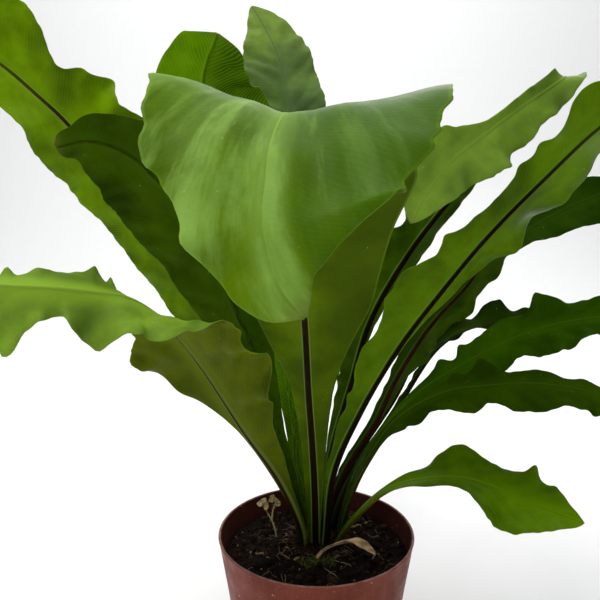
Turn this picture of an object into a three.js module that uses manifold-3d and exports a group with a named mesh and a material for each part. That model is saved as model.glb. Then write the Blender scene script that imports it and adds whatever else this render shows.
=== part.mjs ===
// Potted bird's nest fern: a thin plastic nursery pot, its soil, a short crown and the waved fronds
// that rise from it. Millimetres, +Z up. The origin is the centre of the pot's underside, and -Y is the
// side that faces the viewer.
import * as THREE from "three";
import { mergeVertices } from "three/addons/utils/BufferGeometryUtils.js";
import Module from "manifold-3d";

const wasm = await Module();
wasm.setup();

// Clearance between pieces that touch, and how far a cut runs past the faces that it opens
const GAP = 0.3;
const CUT_PAST = 1;

// Pot: a plain tapered nursery pot with drain holes round its floor
const POT_HEIGHT = 95;
const POT_RIM_RADIUS = 55;
const POT_BASE_RADIUS = 40;
const POT_WALL = 1.2;
const POT_FLOOR = 1.8;
const POT_SIDES = 44;
const DRAIN_HOLES = 6;
const DRAIN_RADIUS = 4;
const DRAIN_RING = 27;
const DRAIN_SIDES = 16;

// Soil, level at the wall and raised a little towards the crown
const SOIL_LEVEL = 82;
const SOIL_MOUND = 3;
const SOIL_BUMP = 0.9;
const SOIL_SIDES = 32;
const SOIL_RINGS = 4;

// Crown: the short stem that the fronds grow from, sunk in the soil a little behind the pot's middle
const CROWN_PLACE = [1.5, 4.5];
const CROWN_BOTTOM = 74;
const CROWN_TOP = 91;
const CROWN_RADIUS = 16;
const CROWN_SIDES = 20;
const CROWN_FOOT = 0.9;
const CROWN_SHOULDER = 0.86;
const CROWN_CAP = 0.5;

// Frond blades and ribs: the blade's thickness, the rib's half width at each end, how far the rib stands
// below and above the blade as shares of its half width, and the narrow wing along the stalk
const BLADE = 0.7;
const RIB_BASE = 1.7;
const RIB_TIP = 0.6;
const RIB_DEPTH = 1.3;
const RIB_RISE = 0.3;
const WING = 0.5;
const STALK_STEPS = 4;
const BLADE_STEPS = 23;
const STALK_SHARE = 0.2;
const CURVE_SAMPLES = 400;

// Edge waves: how far they widen the blade, how much the second wave adds and how many times faster it
// runs, how many turns the right edge is ahead of the left one, and how steeply the wave grows from the
// rib to the edge and fades where the blade is narrow
const SCALLOP = 0.07;
const WAVE_SECOND = 0.28;
const WAVE_RATE = 1.63;
const WAVE_SHIFT = 0.37;
const WAVE_GROWTH = 1.6;
const WAVE_FADE = 1.5;

// Each frond is a list of places along its midrib, in rows of x, y, z, left half width, right half width
// and roll in degrees. facing is the compass angle that its underside looks to, and left and right are
// as seen from there. fold is how far the two halves stand up from the midrib at the base and at the
// tip, and wave gives the length and height of the edge's waves and where they start.
const FRONDS = [
  {
    name: "frond_front",
    facing: -92,
    fold: [20, 12],
    wave: { length: 60, height: 3.5, start: 0.2 },
    rows: [
      [-0.3, -5.8, 79, 2.2, 2.2, 0],
      [-0.4, -6.4, 94, 2.4, 2.4, 0],
      [-1, -11, 120, 5.5, 4, 0],
      [-2.5, -20, 150, 6, 7, 0],
      [-5, -35, 186, 9, 12.5, 0],
      [-6, -47, 206, 17, 21, 0],
      [-7, -60, 224, 24, 30, 0],
      [-10, -98, 266, 34, 40, -2],
      [-12, -134, 292, 36, 45, -6],
      [-13, -158, 297, 32, 42, -6],
      [-16, -178, 286, 30, 39, -2],
      [-16.6, -184, 278.5, 29, 35, -1],
      [-17, -190, 268, 17.5, 28, 0],
      [-13, -195, 255, 10, 10, 0],
      [-8, -197, 249, 2, 2, 0],
    ],
  },
  {
    name: "frond_left_high",
    facing: -100,
    fold: [18, 8],
    wave: { length: 38, height: 5, start: 0.6 },
    rows: [
      [-8.2, 8.4, 79, 2.2, 2.2, 0],
      [-9.6, 7.6, 96, 2.4, 2.4, 0],
      [-20, 3.5, 131, 4.5, 4.5, 0],
      [-37, -1, 171, 10, 10, 0],
      [-65, -6, 227, 18, 19, 0],
      [-96, -10, 277, 23, 33, 0],
      [-125, -13, 317, 29, 29, 0],
      [-139, -15.5, 331, 24, 19, 0],
      [-155, -18, 345, 19, 29, 0],
      [-181, -23, 361, 14, 21, 0],
      [-203, -29, 366, 2, 2, 0],
    ],
  },
  {
    name: "frond_left_dark",
    facing: -105,
    fold: [18, 6],
    wave: { length: 36, height: 4, start: 0.1 },
    rows: [
      [-8.8, 2.7, 79, 2.2, 2.2, 0],
      [-9.4, 1.6, 96, 2.4, 2.4, 0],
      [-14, -4, 124, 4, 3.5, 0],
      [-21, -11, 156, 8, 4, 0],
      [-29, -18, 192, 15, 7.5, 0],
      [-39, -24, 220, 24, 17, 0],
      [-51, -30, 247, 29, 25, 0],
      [-62, -36, 268, 32, 26, 4],
      [-74, -42, 287, 31, 24, 12],
      [-87, -49, 299, 24, 16, 32],
      [-101, -57, 303, 16, 12, 50],
      [-112, -62.5, 300, 8, 7, 55],
    ],
  },
  {
    name: "frond_left_round",
    facing: -95,
    fold: [18, 10],
    wave: { length: 58, height: 3, start: 0.4 },
    rows: [
      [-2.4, 3.1, 79, 2.2, 2.2, 0],
      [-3, 3.8, 96, 2.4, 2.4, 0],
      [-10.5, 9, 130, 3.5, 4, 0],
      [-14, 13, 165, 7, 8, 0],
      [-25, 18, 215, 17, 21, 0],
      [-40, 22, 268, 29, 29, 0],
      [-54, 22, 312, 33, 33, 0],
      [-62, 20, 341, 30, 29, 0],
      [-59, 17, 355, 23, 24, 0],
      [-55, 15, 363, 17, 17, 0],
      [-53, 14, 368, 6, 6, 0],
    ],
  },
  {
    name: "frond_back_tip",
    facing: 88,
    fold: [18, 10],
    wave: { length: 40, height: 3.5, start: 0.3 },
    rows: [
      [0.1, 8.4, 79, 2.2, 2.2, 0],
      [0, 10, 96, 2.4, 2.4, 0],
      [-3, 18, 130, 4.5, 4.5, 0],
      [-7, 27, 170, 7.5, 7.5, 0],
      [-11, 43, 220, 15, 15, 0],
      [-14, 65, 280, 22, 25, 0],
      [-16, 92, 340, 24, 31, 0],
      [-25, 116, 384, 21, 26, 0],
      [-36, 128, 408, 12, 12, 0],
      [-44, 135, 422, 2, 2, 0],
    ],
  },
  {
    name: "frond_left_low",
    facing: 180,
    fold: [18, -30],
    wave: { length: 30, height: 7, start: 0.4 },
    rows: [
      [-6.3, -2.5, 79, 2.2, 2.2, 30],
      [-7.4, -4.4, 95, 2.4, 2.4, 50],
      [-20, -18, 132, 3, 6, 75],
      [-37, -33, 165, 3, 16, 75],
      [-54, -48, 200, 18, 33, 75],
      [-61.5, -56.5, 214.5, 25, 31, 68],
      [-69, -65, 227, 17, 30, 60],
      [-80, -78, 238, 20, 21, -10],
      [-91, -85, 241, 17, 21, -40],
      [-103, -90, 243, 13, 11, -50],
      [-113, -93.5, 244, 11, 17, -50],
      [-119, -95.5, 244.5, 9, 27, -50],
      [-124, -97, 245, 8, 12, -50],
      [-131, -99, 245, 2, 2, -50],
    ],
  },
  {
    name: "frond_right_high",
    facing: -75,
    fold: [20, 10],
    wave: { length: 44, height: 3, start: 0.5 },
    rows: [
      [3.6, 0.9, 79, 2.2, 2.2, 0],
      [4.4, 0.6, 96, 2.4, 2.4, 0],
      [7.8, 2, 135, 3, 2, 0],
      [19.7, 3, 180, 8, 2.4, 0],
      [29, 0, 215, 14, 5, 0],
      [48, -3, 251, 15, 10, 0],
      [71, -4, 282, 11, 8, 0],
      [99, -7, 314, 7, 8, 0],
      [119, -14, 336, 6, 10, 0],
      [116, -27, 336, 6, 9, 0],
      [97, -37, 324, 5, 12, 0],
      [77, -45, 310, 4.5, 16, 0],
      [56, -54, 294, 15, 15, 0],
      [44, -60, 279, 12, 9, 0],
      [38, -63, 268, 2, 2, 0],
    ],
  },
  {
    name: "frond_right_front",
    facing: -70,
    fold: [14, 8],
    wave: { length: 38, height: 5, start: 0.0 },
    rows: [
      [5.1, -5.4, 79, 2.2, 2.2, 0],
      [6, -6.6, 96, 2.4, 2.4, 0],
      [9.4, -11, 134, 4.5, 2, 0],
      [22.5, -18, 170, 9, 2.2, 0],
      [41, -26, 207, 17, 3.6, 0],
      [58, -34, 234, 22, 9, 0],
      [77, -44, 262, 12, 24, 0],
      [98, -55, 288, 12, 24, 0],
      [117, -64, 309, 18, 21, 0],
      [135, -72, 322, 14, 15, 0],
      [152, -79, 326, 2, 2, 0],
    ],
  },
  {
    name: "frond_right_mid",
    facing: -60,
    fold: [18, 10],
    wave: { length: 36, height: 5, start: 0.8 },
    rows: [
      [5.4, 5.9, 79, 2.2, 2.2, 0],
      [6.6, 6.6, 96, 2.4, 2.4, 0],
      [17, 9, 126, 3.5, 3, 0],
      [35, 13, 155, 4, 4.5, 0],
      [46, 16, 178, 4.5, 11, 0],
      [66.5, 19, 210, 13, 25, 0],
      [86, 20, 232, 18, 26, 0],
      [102, 21, 256, 17, 20, 0],
      [118, 22, 277, 13, 14, 0],
      [134, 23, 294, 2, 2, 0],
    ],
  },
  {
    name: "frond_right_far",
    facing: -20,
    fold: [16, 8],
    wave: { length: 38, height: 5, start: 0.2 },
    rows: [
      [6.1, 13.9, 79, 2.2, 2.2, 0],
      [7.5, 15.5, 96, 2.4, 2.4, 0],
      [25, 26, 128, 3.5, 3.5, 0],
      [51, 42, 162, 3.5, 4.5, 0],
      [74, 53, 206, 8, 12, 15],
      [106, 60, 242, 9, 16, 40],
      [142, 62, 267, 15, 19, 58],
      [176, 61, 284, 22, 14, 62],
      [203, 58, 291, 2, 2, 62],
    ],
  },
  {
    name: "frond_right_dark",
    facing: -30,
    fold: [18, 8],
    wave: { length: 34, height: 5, start: 0.5 },
    rows: [
      [9.9, 10.8, 79, 2.2, 2.2, 0],
      [11.4, 12, 96, 2.4, 2.4, 0],
      [23, 20, 121, 2.6, 2.6, 0],
      [50, 30, 158, 3, 3, 0],
      [76, 43, 191, 6, 7, 15],
      [97, 47, 203, 12, 12, 25],
      [122, 50, 206, 14, 14, 25],
      [147, 51, 204, 10, 10, 20],
      [169, 50, 197, 2, 2, 15],
    ],
  },
  {
    name: "frond_right_light",
    facing: -10,
    fold: [12, 6],
    wave: { length: 34, height: 6, start: 0.3 },
    rows: [
      [11.8, 6.3, 79, 2.2, 2.2, 0],
      [13.6, 6.8, 94, 2.4, 2.4, 0],
      [22, 8, 124, 5, 2, 10],
      [38, 8, 151, 6.5, 2.2, 20],
      [59, 8, 173, 8, 5, 30],
      [82, 7, 189, 14, 9, 35],
      [107, 3, 204, 19, 14, 35],
      [131, -3, 214, 20, 18, 35],
      [152, -9, 218, 13, 12, 35],
      [172, -15, 216, 2, 2, 35],
    ],
  },
  {
    name: "frond_right_low",
    facing: -10,
    fold: [12, 6],
    wave: { length: 32, height: 6, start: 0.6 },
    rows: [
      [11.7, 2, 79, 2.2, 2.2, 0],
      [13.8, 0.8, 93, 2.4, 2.4, 0],
      [19.4, -3, 117.9, 2.2, 2.2, 10],
      [29.1, -8, 141.6, 2.5, 3, 20],
      [44, -14, 165.7, 10, 3, 30],
      [67, -20, 181.2, 16, 6, 30],
      [87.2, -26, 186, 17, 13, 30],
      [105.7, -34, 189.3, 19, 8, 30],
      [131.5, -44, 187.2, 14, 6, 30],
      [150.9, -53, 178.4, 2, 2, 30],
    ],
  },
  {
    name: "frond_right_lowest",
    facing: -12,
    fold: [12, 6],
    wave: { length: 34, height: 6, start: 0.1 },
    rows: [
      [9.3, -2.5, 79, 2.2, 2.2, 0],
      [12.6, -4.6, 92, 2.4, 2.4, 0],
      [22, -9, 108, 2.4, 2.4, 0],
      [37, -13, 124, 3.2, 3.2, 5],
      [54, -17, 132, 8, 8, 15],
      [75, -21, 135, 7, 17, 30],
      [91, -25, 132, 21, 14, 35],
      [105, -30, 127, 21, 15, 35],
      [119, -35, 123, 13, 14, 30],
      [133, -39, 119, 2, 2, 20],
    ],
  },
  {
    name: "frond_back_left",
    facing: 130,
    fold: [16, 8],
    wave: { length: 38, height: 6, start: 0.4 },
    rows: [
      [-4.5, 13.1, 79, 2.2, 2.2, 0],
      [-6.4, 15.4, 94, 2.4, 2.4, 0],
      [-18, 27, 125, 4.5, 4.5, 0],
      [-36, 44, 162, 9, 9, 0],
      [-54, 67, 205, 21, 21, 0],
      [-72, 94, 240, 24, 24, 0],
      [-88, 122, 262, 21, 21, 0],
      [-102, 148, 270, 14, 14, 0],
      [-112, 168, 268, 2, 2, 0],
    ],
  },
  {
    name: "frond_back_right",
    facing: 70,
    fold: [16, 8],
    wave: { length: 40, height: 6, start: 0.9 },
    rows: [
      [1.1, 15, 79, 2.2, 2.2, 0],
      [1.6, 18, 94, 2.4, 2.4, 0],
      [3, 34, 122, 4, 4, 0],
      [5, 56, 156, 8, 8, 0],
      [12, 84, 192, 18, 19, 0],
      [22, 114, 220, 24, 24, 0],
      [33, 144, 236, 21, 21, 0],
      [43, 170, 240, 14, 14, 0],
      [50, 190, 235, 2, 2, 0],
    ],
  },
  {
    name: "dry_frond",
    facing: -60,
    slim: 0.45,
    steps: 12,
    fold: [0, 40],
    wave: { length: 14, height: 0.8, start: 0.3 },
    rows: [
      [0, -13.8, 78, 1, 1, 0],
      [0.8, -14.6, 87, 1, 1, 0],
      [6, -14.6, 92, 1.1, 1.1, 0],
      [13, -14, 94.5, 1.3, 1.3, 0],
      [20, -14, 95, 2.4, 2.4, 0],
      [27, -15, 92, 2.7, 2.7, 0],
      [32, -16, 88.5, 1, 1, 0],
    ],
  },
];

// Weed: a dried seedling with round leaflets, each stem a list of places that it runs through
const WEED_STEMS = [
  [
    [-23, 13, 77],
    [-23.5, 13.5, 85],
    [-26, 17, 91],
    [-31, 22, 97],
  ],
  [
    [-26, 17, 91],
    [-25.5, 21, 95],
    [-24, 26, 98],
  ],
];
const WEED_STEM_RADIUS = 0.6;
const LEAFLET_RADIUS = 2.8;
const LEAFLET_THICK = 0.8;
const LEAFLET_DROOP = 0.5;
const LEAFLET_LEAN = 0.3;
const LEAFLETS = 3;
const SOCKET_DEPTH = 2;

// Colours and finish, as they look in daylight
const FINISH = {
  pot: { color: 0x84443a, roughness: 0.5 },
  soil: { color: 0x1d1512, roughness: 0.95 },
  crown: { color: 0x2b2118, roughness: 0.9 },
  frond: { color: 0x4f7d22, roughness: 0.42 },
  dry: { color: 0xb09468, roughness: 0.8 },
  weed: { color: 0x9a8f5c, roughness: 0.8 },
};

const fern = new THREE.Group();

function addMesh(name, geometry, finish) {
  const material = new THREE.MeshStandardMaterial({ ...FINISH[finish], metalness: 0 });
  const mesh = new THREE.Mesh(geometry, material);
  mesh.name = name;
  fern.add(mesh);
  return mesh;
}

// A geometry as a solid for joining and cutting, without the thin faces that a lathe leaves on its axis.
function solidOf(geometry) {
  const bare = new THREE.BufferGeometry();
  bare.setAttribute("position", geometry.getAttribute("position").clone());
  bare.setIndex(geometry.index);
  const merged = mergeVertices(bare, 1e-4);
  const corners = merged.index.array;
  const kept = [];
  for (let i = 0; i < corners.length; i += 3) {
    const [a, b, c] = corners.slice(i, i + 3);
    if (a !== b && b !== c && c !== a) kept.push(a, b, c);
  }
  const vertProperties = new Float32Array(merged.getAttribute("position").array);
  const mesh = new wasm.Mesh({ numProp: 3, vertProperties, triVerts: new Uint32Array(kept) });
  return new wasm.Manifold(mesh);
}

// A solid's largest body as a geometry again.
function geometryOf(solid) {
  const bodies = solid.decompose();
  bodies.sort((a, b) => b.volume() - a.volume());
  const mesh = bodies[0].getMesh();
  const geometry = new THREE.BufferGeometry();
  geometry.setAttribute("position", new THREE.BufferAttribute(new Float32Array(mesh.vertProperties), 3));
  geometry.setIndex(new THREE.BufferAttribute(new Uint32Array(mesh.triVerts), 1));
  geometry.computeVertexNormals();
  return geometry;
}

// A profile of [radius, height] points turned round the upright axis.
function turned(profile, sides) {
  const points = profile.map(([radius, height]) => new THREE.Vector2(radius, height));
  return new THREE.LatheGeometry(points, sides).rotateX(Math.PI / 2);
}

function uprightRod(radius, bottom, top, x, y, sides) {
  const rod = new THREE.CylinderGeometry(radius, radius, top - bottom, sides).rotateX(Math.PI / 2);
  return rod.translate(x, y, (top + bottom) / 2);
}

// The pot's inner radius at a height.
function potInside(z) {
  const taper = (POT_RIM_RADIUS - POT_BASE_RADIUS) / POT_HEIGHT;
  return POT_BASE_RADIUS + taper * z - POT_WALL;
}

function potGeometry() {
  const wall = turned(
    [
      [0, 0],
      [POT_BASE_RADIUS, 0],
      [POT_RIM_RADIUS, POT_HEIGHT],
      [potInside(POT_HEIGHT), POT_HEIGHT],
      [potInside(POT_FLOOR), POT_FLOOR],
      [0, POT_FLOOR],
    ],
    POT_SIDES,
  );
  let pot = solidOf(wall);
  for (let i = 0; i < DRAIN_HOLES; i++) {
    const angle = (2 * Math.PI * i) / DRAIN_HOLES;
    const x = DRAIN_RING * Math.cos(angle);
    const y = DRAIN_RING * Math.sin(angle);
    const hole = uprightRod(DRAIN_RADIUS, -CUT_PAST, POT_FLOOR + CUT_PAST, x, y, DRAIN_SIDES);
    pot = pot.subtract(solidOf(hole));
  }
  return geometryOf(pot);
}

// Height of the soil at a place: it rises to the middle, and crossed waves of about 20 and 8 mm make it
// lumpy away from the wall.
function soilHeight(x, y) {
  const out = Math.min(Math.hypot(x, y) / potInside(SOIL_LEVEL), 1);
  const lumps = Math.sin(0.31 * x + 1.3) * Math.cos(0.27 * y) + 0.5 * Math.sin(0.53 * x - 0.61 * y);
  const mound = SOIL_MOUND * (1 - out ** 2);
  return SOIL_LEVEL + mound + SOIL_BUMP * lumps * (1 - out ** 6);
}

function soilBody() {
  const bottom = POT_FLOOR + GAP;
  const profile = [
    [0, bottom],
    [potInside(bottom) - GAP, bottom],
  ];
  for (let i = SOIL_RINGS; i >= 0; i--) {
    profile.push([((potInside(SOIL_LEVEL) - GAP) * i) / SOIL_RINGS, SOIL_LEVEL]);
  }
  const body = turned(profile, SOIL_SIDES);
  const place = body.getAttribute("position");
  for (let i = 0; i < place.count; i++) {
    if (place.getZ(i) > SOIL_LEVEL - 1) place.setZ(i, soilHeight(place.getX(i), place.getY(i)));
  }
  return solidOf(body);
}

// The crown's outline, and with room to spare the hole that it stands in.
function crownBody(room) {
  const top = CROWN_TOP + room;
  const crown = turned(
    [
      [0, CROWN_BOTTOM - room],
      [CROWN_RADIUS * CROWN_FOOT + room, CROWN_BOTTOM - room],
      [CROWN_RADIUS + room, SOIL_LEVEL + SOIL_MOUND - 1],
      [CROWN_RADIUS * CROWN_SHOULDER + room, top - 3],
      [CROWN_RADIUS * CROWN_CAP, top - 0.6],
      [0, top],
    ],
    CROWN_SIDES,
  );
  return solidOf(crown.translate(CROWN_PLACE[0], CROWN_PLACE[1], 0));
}

// The midrib as a curve, with tables that turn a share of its length into a place, a half width and a roll.
function midrib(frond) {
  const rows = frond.rows;
  const curve = (from, to) =>
    new THREE.CatmullRomCurve3(rows.map((row) => new THREE.Vector3(...row.slice(from, to))));
  const route = curve(0, 3);
  const sizes = curve(3, 6);
  route.arcLengthDivisions = CURVE_SAMPLES;
  const share = (u) => route.getUtoTmapping(u);
  return { route, sizes, share, length: route.getLength() };
}

// The edge wave's height, from -1 to 1, at a distance along the frond. The two sides run out of step.
function edgeWave(wave, side, distance) {
  const shift = side > 0 ? WAVE_SHIFT : 0;
  const turn = 2 * Math.PI * (distance / wave.length + wave.start + shift);
  const second = Math.sin(WAVE_RATE * turn + 1.1 * side);
  return (1 - WAVE_SECOND) * Math.sin(turn) + WAVE_SECOND * second;
}

// The blade's middle surface at a share of the frond's length: a place for each column across it.
// Columns are given as a side of -1 or 1 and a reach from 0 at the rib to 1 at the edge; grow widens it
// for a socket.
function bladeRow(frond, rib, u, grow) {
  const t = rib.share(u);
  const centre = rib.route.getPoint(t);
  const along = rib.route.getTangent(t);
  const size = rib.sizes.getPoint(t);
  const slim = frond.slim ?? 1;
  const ribHalf = slim * THREE.MathUtils.lerp(RIB_BASE, RIB_TIP, u) + grow;
  const halves = { [-1]: size.x + grow, [1]: size.y + grow };
  const widest = Math.max(...frond.rows.map((row) => Math.max(row[3], row[4])));
  const facing = THREE.MathUtils.degToRad(frond.facing);
  const level = new THREE.Vector3(-Math.sin(facing), Math.cos(facing), 0);
  const across = level.addScaledVector(along, -level.dot(along)).normalize();
  across.applyAxisAngle(along, THREE.MathUtils.degToRad(size.z));
  const up = new THREE.Vector3().crossVectors(along, across);
  const fold = THREE.MathUtils.degToRad(THREE.MathUtils.lerp(frond.fold[0], frond.fold[1], u));
  const reachTo = (side, reach) => {
    const wave = edgeWave(frond.wave, side, u * rib.length);
    const share = Math.min(halves[side] / widest, 1) ** WAVE_FADE;
    const half = Math.max(halves[side] * (1 + SCALLOP * share * wave), ribHalf + slim * WING);
    const distance = reach < 0 ? 0 : ribHalf + (half - ribHalf) * reach;
    const waved = frond.wave.height * share * Math.max(reach, 0) ** WAVE_GROWTH * wave;
    const lift = distance * Math.sin(fold) + waved;
    return centre
      .clone()
      .addScaledVector(across, side * distance * Math.cos(fold))
      .addScaledVector(up, lift);
  };
  return { centre, along, up, ribHalf, reachTo };
}

// Columns from the left edge to the right one: side and reach, with a reach below 0 on the midrib itself.
const COLUMNS = [
  [-1, 1],
  [-1, 0.5],
  [-1, 0],
  [1, -1],
  [1, 0],
  [1, 0.5],
  [1, 1],
];

// Shares of the length where a frond has a row of points: a few up the stalk and the rest along the blade.
function frondShares(frond) {
  const steps = frond.steps ?? BLADE_STEPS;
  const shares = [];
  for (let i = 0; i < STALK_STEPS; i++) shares.push((STALK_SHARE * i) / STALK_STEPS);
  for (let i = 0; i <= steps; i++) shares.push(STALK_SHARE + (1 - STALK_SHARE) * (i / steps));
  return shares;
}

// A frond as one closed skin: its upper face, its lower face with the rib's keel, and the edges that join
// them.
function frondGeometry(frond, grow = 0) {
  const rib = midrib(frond);
  const rows = frondShares(frond).map((u) => bladeRow(frond, rib, u, grow));
  const grid = rows.map((row) => COLUMNS.map(([side, reach]) => row.reachTo(side, reach)));
  if (grow > 0) grid[0].forEach((point) => point.addScaledVector(rows[0].along, -grow));
  const width = COLUMNS.length;
  const middle = (width - 1) / 2;
  const normalAt = (i, j) => {
    const ahead = grid[Math.min(i + 1, grid.length - 1)][j].clone().sub(grid[Math.max(i - 1, 0)][j]);
    const aside = grid[i][Math.min(j + 1, width - 1)].clone().sub(grid[i][Math.max(j - 1, 0)]);
    return ahead.cross(aside).normalize();
  };
  const positions = [];
  const faces = [];
  const upper = (i, j) => 2 * (i * width + j);
  const lower = (i, j) => upper(i, j) + 1;
  grid.forEach((row, i) =>
    row.forEach((point, j) => {
      const normal = normalAt(i, j);
      const ridge = j === middle ? rows[i].ribHalf * RIB_RISE : 0;
      const keel = j === middle ? rows[i].ribHalf * RIB_DEPTH : 0;
      const top = point.clone().addScaledVector(normal, BLADE / 2 + grow + ridge);
      const bottom = point.clone().addScaledVector(normal, -BLADE / 2 - grow - keel);
      positions.push(...top, ...bottom);
    }),
  );
  const quad = (a, b, c, d) => faces.push(a, b, c, a, c, d);
  const last = grid.length - 1;
  for (let i = 0; i < last; i++) {
    for (let j = 0; j < width - 1; j++) {
      quad(upper(i, j), upper(i + 1, j), upper(i + 1, j + 1), upper(i, j + 1));
      faces.push(lower(i, j), lower(i + 1, j + 1), lower(i + 1, j));
      faces.push(lower(i, j), lower(i, j + 1), lower(i + 1, j + 1));
    }
    quad(upper(i, 0), lower(i, 0), lower(i + 1, 0), upper(i + 1, 0));
    quad(upper(i, width - 1), upper(i + 1, width - 1), lower(i + 1, width - 1), lower(i, width - 1));
  }
  for (let j = 0; j < width - 1; j++) {
    quad(upper(0, j), upper(0, j + 1), lower(0, j + 1), lower(0, j));
    quad(upper(last, j), lower(last, j), lower(last, j + 1), upper(last, j + 1));
  }
  const geometry = new THREE.BufferGeometry();
  geometry.setAttribute("position", new THREE.Float32BufferAttribute(positions, 3));
  geometry.setIndex(faces);
  geometry.computeVertexNormals();
  return geometry;
}

// A tube along a list of places.
function stemBody(places, radius) {
  const route = new THREE.CatmullRomCurve3(places.map((place) => new THREE.Vector3(...place)));
  const section = new THREE.Shape().absarc(0, 0, radius, 0, 2 * Math.PI);
  const steps = 2 * (places.length - 1);
  const options = { steps, curveSegments: 3, bevelEnabled: false, extrudePath: route };
  return solidOf(new THREE.ExtrudeGeometry(section, options));
}

// The seedling: its stems, and a ring of flat round leaflets at the top of each.
function weedBody() {
  let weed = null;
  for (const places of WEED_STEMS) {
    const stem = stemBody(places, WEED_STEM_RADIUS);
    weed = weed ? weed.add(stem) : stem;
    const tip = places.at(-1);
    for (let i = 0; i < LEAFLETS; i++) {
      const turn = (2 * Math.PI * i) / LEAFLETS + tip[0];
      const leaflet = new THREE.SphereGeometry(LEAFLET_RADIUS, 8, 4);
      leaflet.scale(1, 1, LEAFLET_THICK / (2 * LEAFLET_RADIUS));
      leaflet.translate(LEAFLET_RADIUS * 0.75, 0, 0);
      leaflet.rotateY(-LEAFLET_DROOP).rotateZ(turn).rotateX(LEAFLET_LEAN);
      weed = weed.add(solidOf(leaflet.translate(...tip)));
    }
  }
  return weed;
}

const weed = weedBody();
const dryFrond = FRONDS.find((frond) => frond.name === "dry_frond");
let crown = crownBody(0);
for (const frond of FRONDS) crown = crown.subtract(solidOf(frondGeometry(frond, GAP)));

// The stem's hole in the soil, a little deeper than the stem's foot
const stemHole = WEED_STEM_RADIUS + GAP;
const [footX, footY, footZ] = WEED_STEMS[0][0];
const footHole = uprightRod(stemHole, footZ - SOCKET_DEPTH, footZ + SOCKET_DEPTH, footX, footY, 6);

let soil = soilBody().subtract(crownBody(GAP));
soil = soil.subtract(solidOf(frondGeometry(dryFrond, GAP)));
soil = soil.subtract(stemBody(WEED_STEMS[0], stemHole));
soil = soil.subtract(solidOf(footHole));

addMesh("pot", potGeometry(), "pot");
addMesh("soil", geometryOf(soil), "soil");
addMesh("crown", geometryOf(crown), "crown");
for (const frond of FRONDS) addMesh(frond.name, frondGeometry(frond), frond === dryFrond ? "dry" : "frond");
addMesh("weed", geometryOf(weed), "weed");

export default fern;
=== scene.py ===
"""Looks of a potted bird's nest fern: fine fronds with ribs, veins and ruffled edges, a moulded pot,
crumbly soil with moss, a fibrous crown, a dried frond and a dried seedling.

Tables and shape functions are in millimetres and meshes are in metres, in the frame of the solids:
+Z up, -Y towards the viewer, and the origin at the centre of the pot's underside. Colours of surfaces
are sRGB bytes, and those of lights are shares.
"""

import math

import bmesh
import bpy
import numpy as np
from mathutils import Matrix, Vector, noise


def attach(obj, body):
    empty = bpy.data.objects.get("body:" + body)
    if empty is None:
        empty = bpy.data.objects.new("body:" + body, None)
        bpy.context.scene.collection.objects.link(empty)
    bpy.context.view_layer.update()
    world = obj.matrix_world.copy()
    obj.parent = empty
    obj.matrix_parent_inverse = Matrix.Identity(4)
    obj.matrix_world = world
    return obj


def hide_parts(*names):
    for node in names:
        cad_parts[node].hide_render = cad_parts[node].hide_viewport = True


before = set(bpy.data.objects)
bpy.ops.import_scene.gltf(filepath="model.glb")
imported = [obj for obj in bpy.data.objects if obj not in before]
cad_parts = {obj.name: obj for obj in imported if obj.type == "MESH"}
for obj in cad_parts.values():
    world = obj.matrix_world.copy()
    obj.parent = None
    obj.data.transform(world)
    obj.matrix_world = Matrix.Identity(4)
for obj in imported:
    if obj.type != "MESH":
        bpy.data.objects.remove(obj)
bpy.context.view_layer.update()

MM = 0.001
TURN = 2 * math.pi
SEED = 7301

# Camera at the photograph's angle: place, downward pitch, lens on a square frame, nearest sight in metres
CAMERA_PLACE = (-9.1, -321.7, 269.4)
CAMERA_PITCH = 7.6
CAMERA_LENS = 36
CAMERA_FRAME = 36
CAMERA_NEAR = 0.01

# Lights in metres: place, aim, size, power and colour; then the sky
LIGHTS = {
    "key": ((-0.6, -0.5, 1.8), (0, 0, 0.2), 1.0, 19, (1.0, 0.99, 0.97)),
    "fill": ((0.9, -1.4, 0.6), (0, 0, 0.2), 1.2, 2, (1, 1, 1)),
    "back": ((0.5, 1.1, 1.3), (0, 0, 0.2), 1.0, 4, (1, 1, 1)),
    "wall_wash": ((0, 0.6, 2.2), (0, 2.0, 0.5), 1.6, 27, (1, 1, 1)),
}
SKY_COLOUR = (0.95, 0.97, 1.0, 1)
SKY_STRENGTH = 0.28

# Stage sheet in metres: front edge, start and radius of its bend, top, half width and drop below the pot
STAGE_FRONT = -3.0
STAGE_BEND = 1.2
STAGE_RADIUS = 0.8
STAGE_TOP = 4.0
STAGE_HALF = 5
STAGE_DROP = 0.0004

# Pot, soil and crown, as in the solids
POT_HEIGHT = 95
POT_RIM_RADIUS = 55
POT_BASE_RADIUS = 40
POT_TAPER = (POT_RIM_RADIUS - POT_BASE_RADIUS) / POT_HEIGHT
POT_WALL = 1.2
POT_FLOOR = 1.8
DRAIN_HOLES = 6
DRAIN_RADIUS = 4
DRAIN_RING = 27
SOIL_LEVEL = 82
SOIL_MOUND = 3
SOIL_BUMP = 0.9
SOIL_GAP = 0.3
CROWN_PLACE = (1.5, 4.5)
CROWN_BOTTOM = 74
CROWN_TOP = 91
CROWN_RADIUS = 16

# Fineness of the turned forms: sides round, and rings or steps along
POT_SIDES = 176
WALL_STEPS = 60
INSIDE_STEPS = 24
SOIL_SIDES = 200
SOIL_RINGS = 64
CROWN_SIDES = 96
CROWN_RINGS = 26

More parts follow.
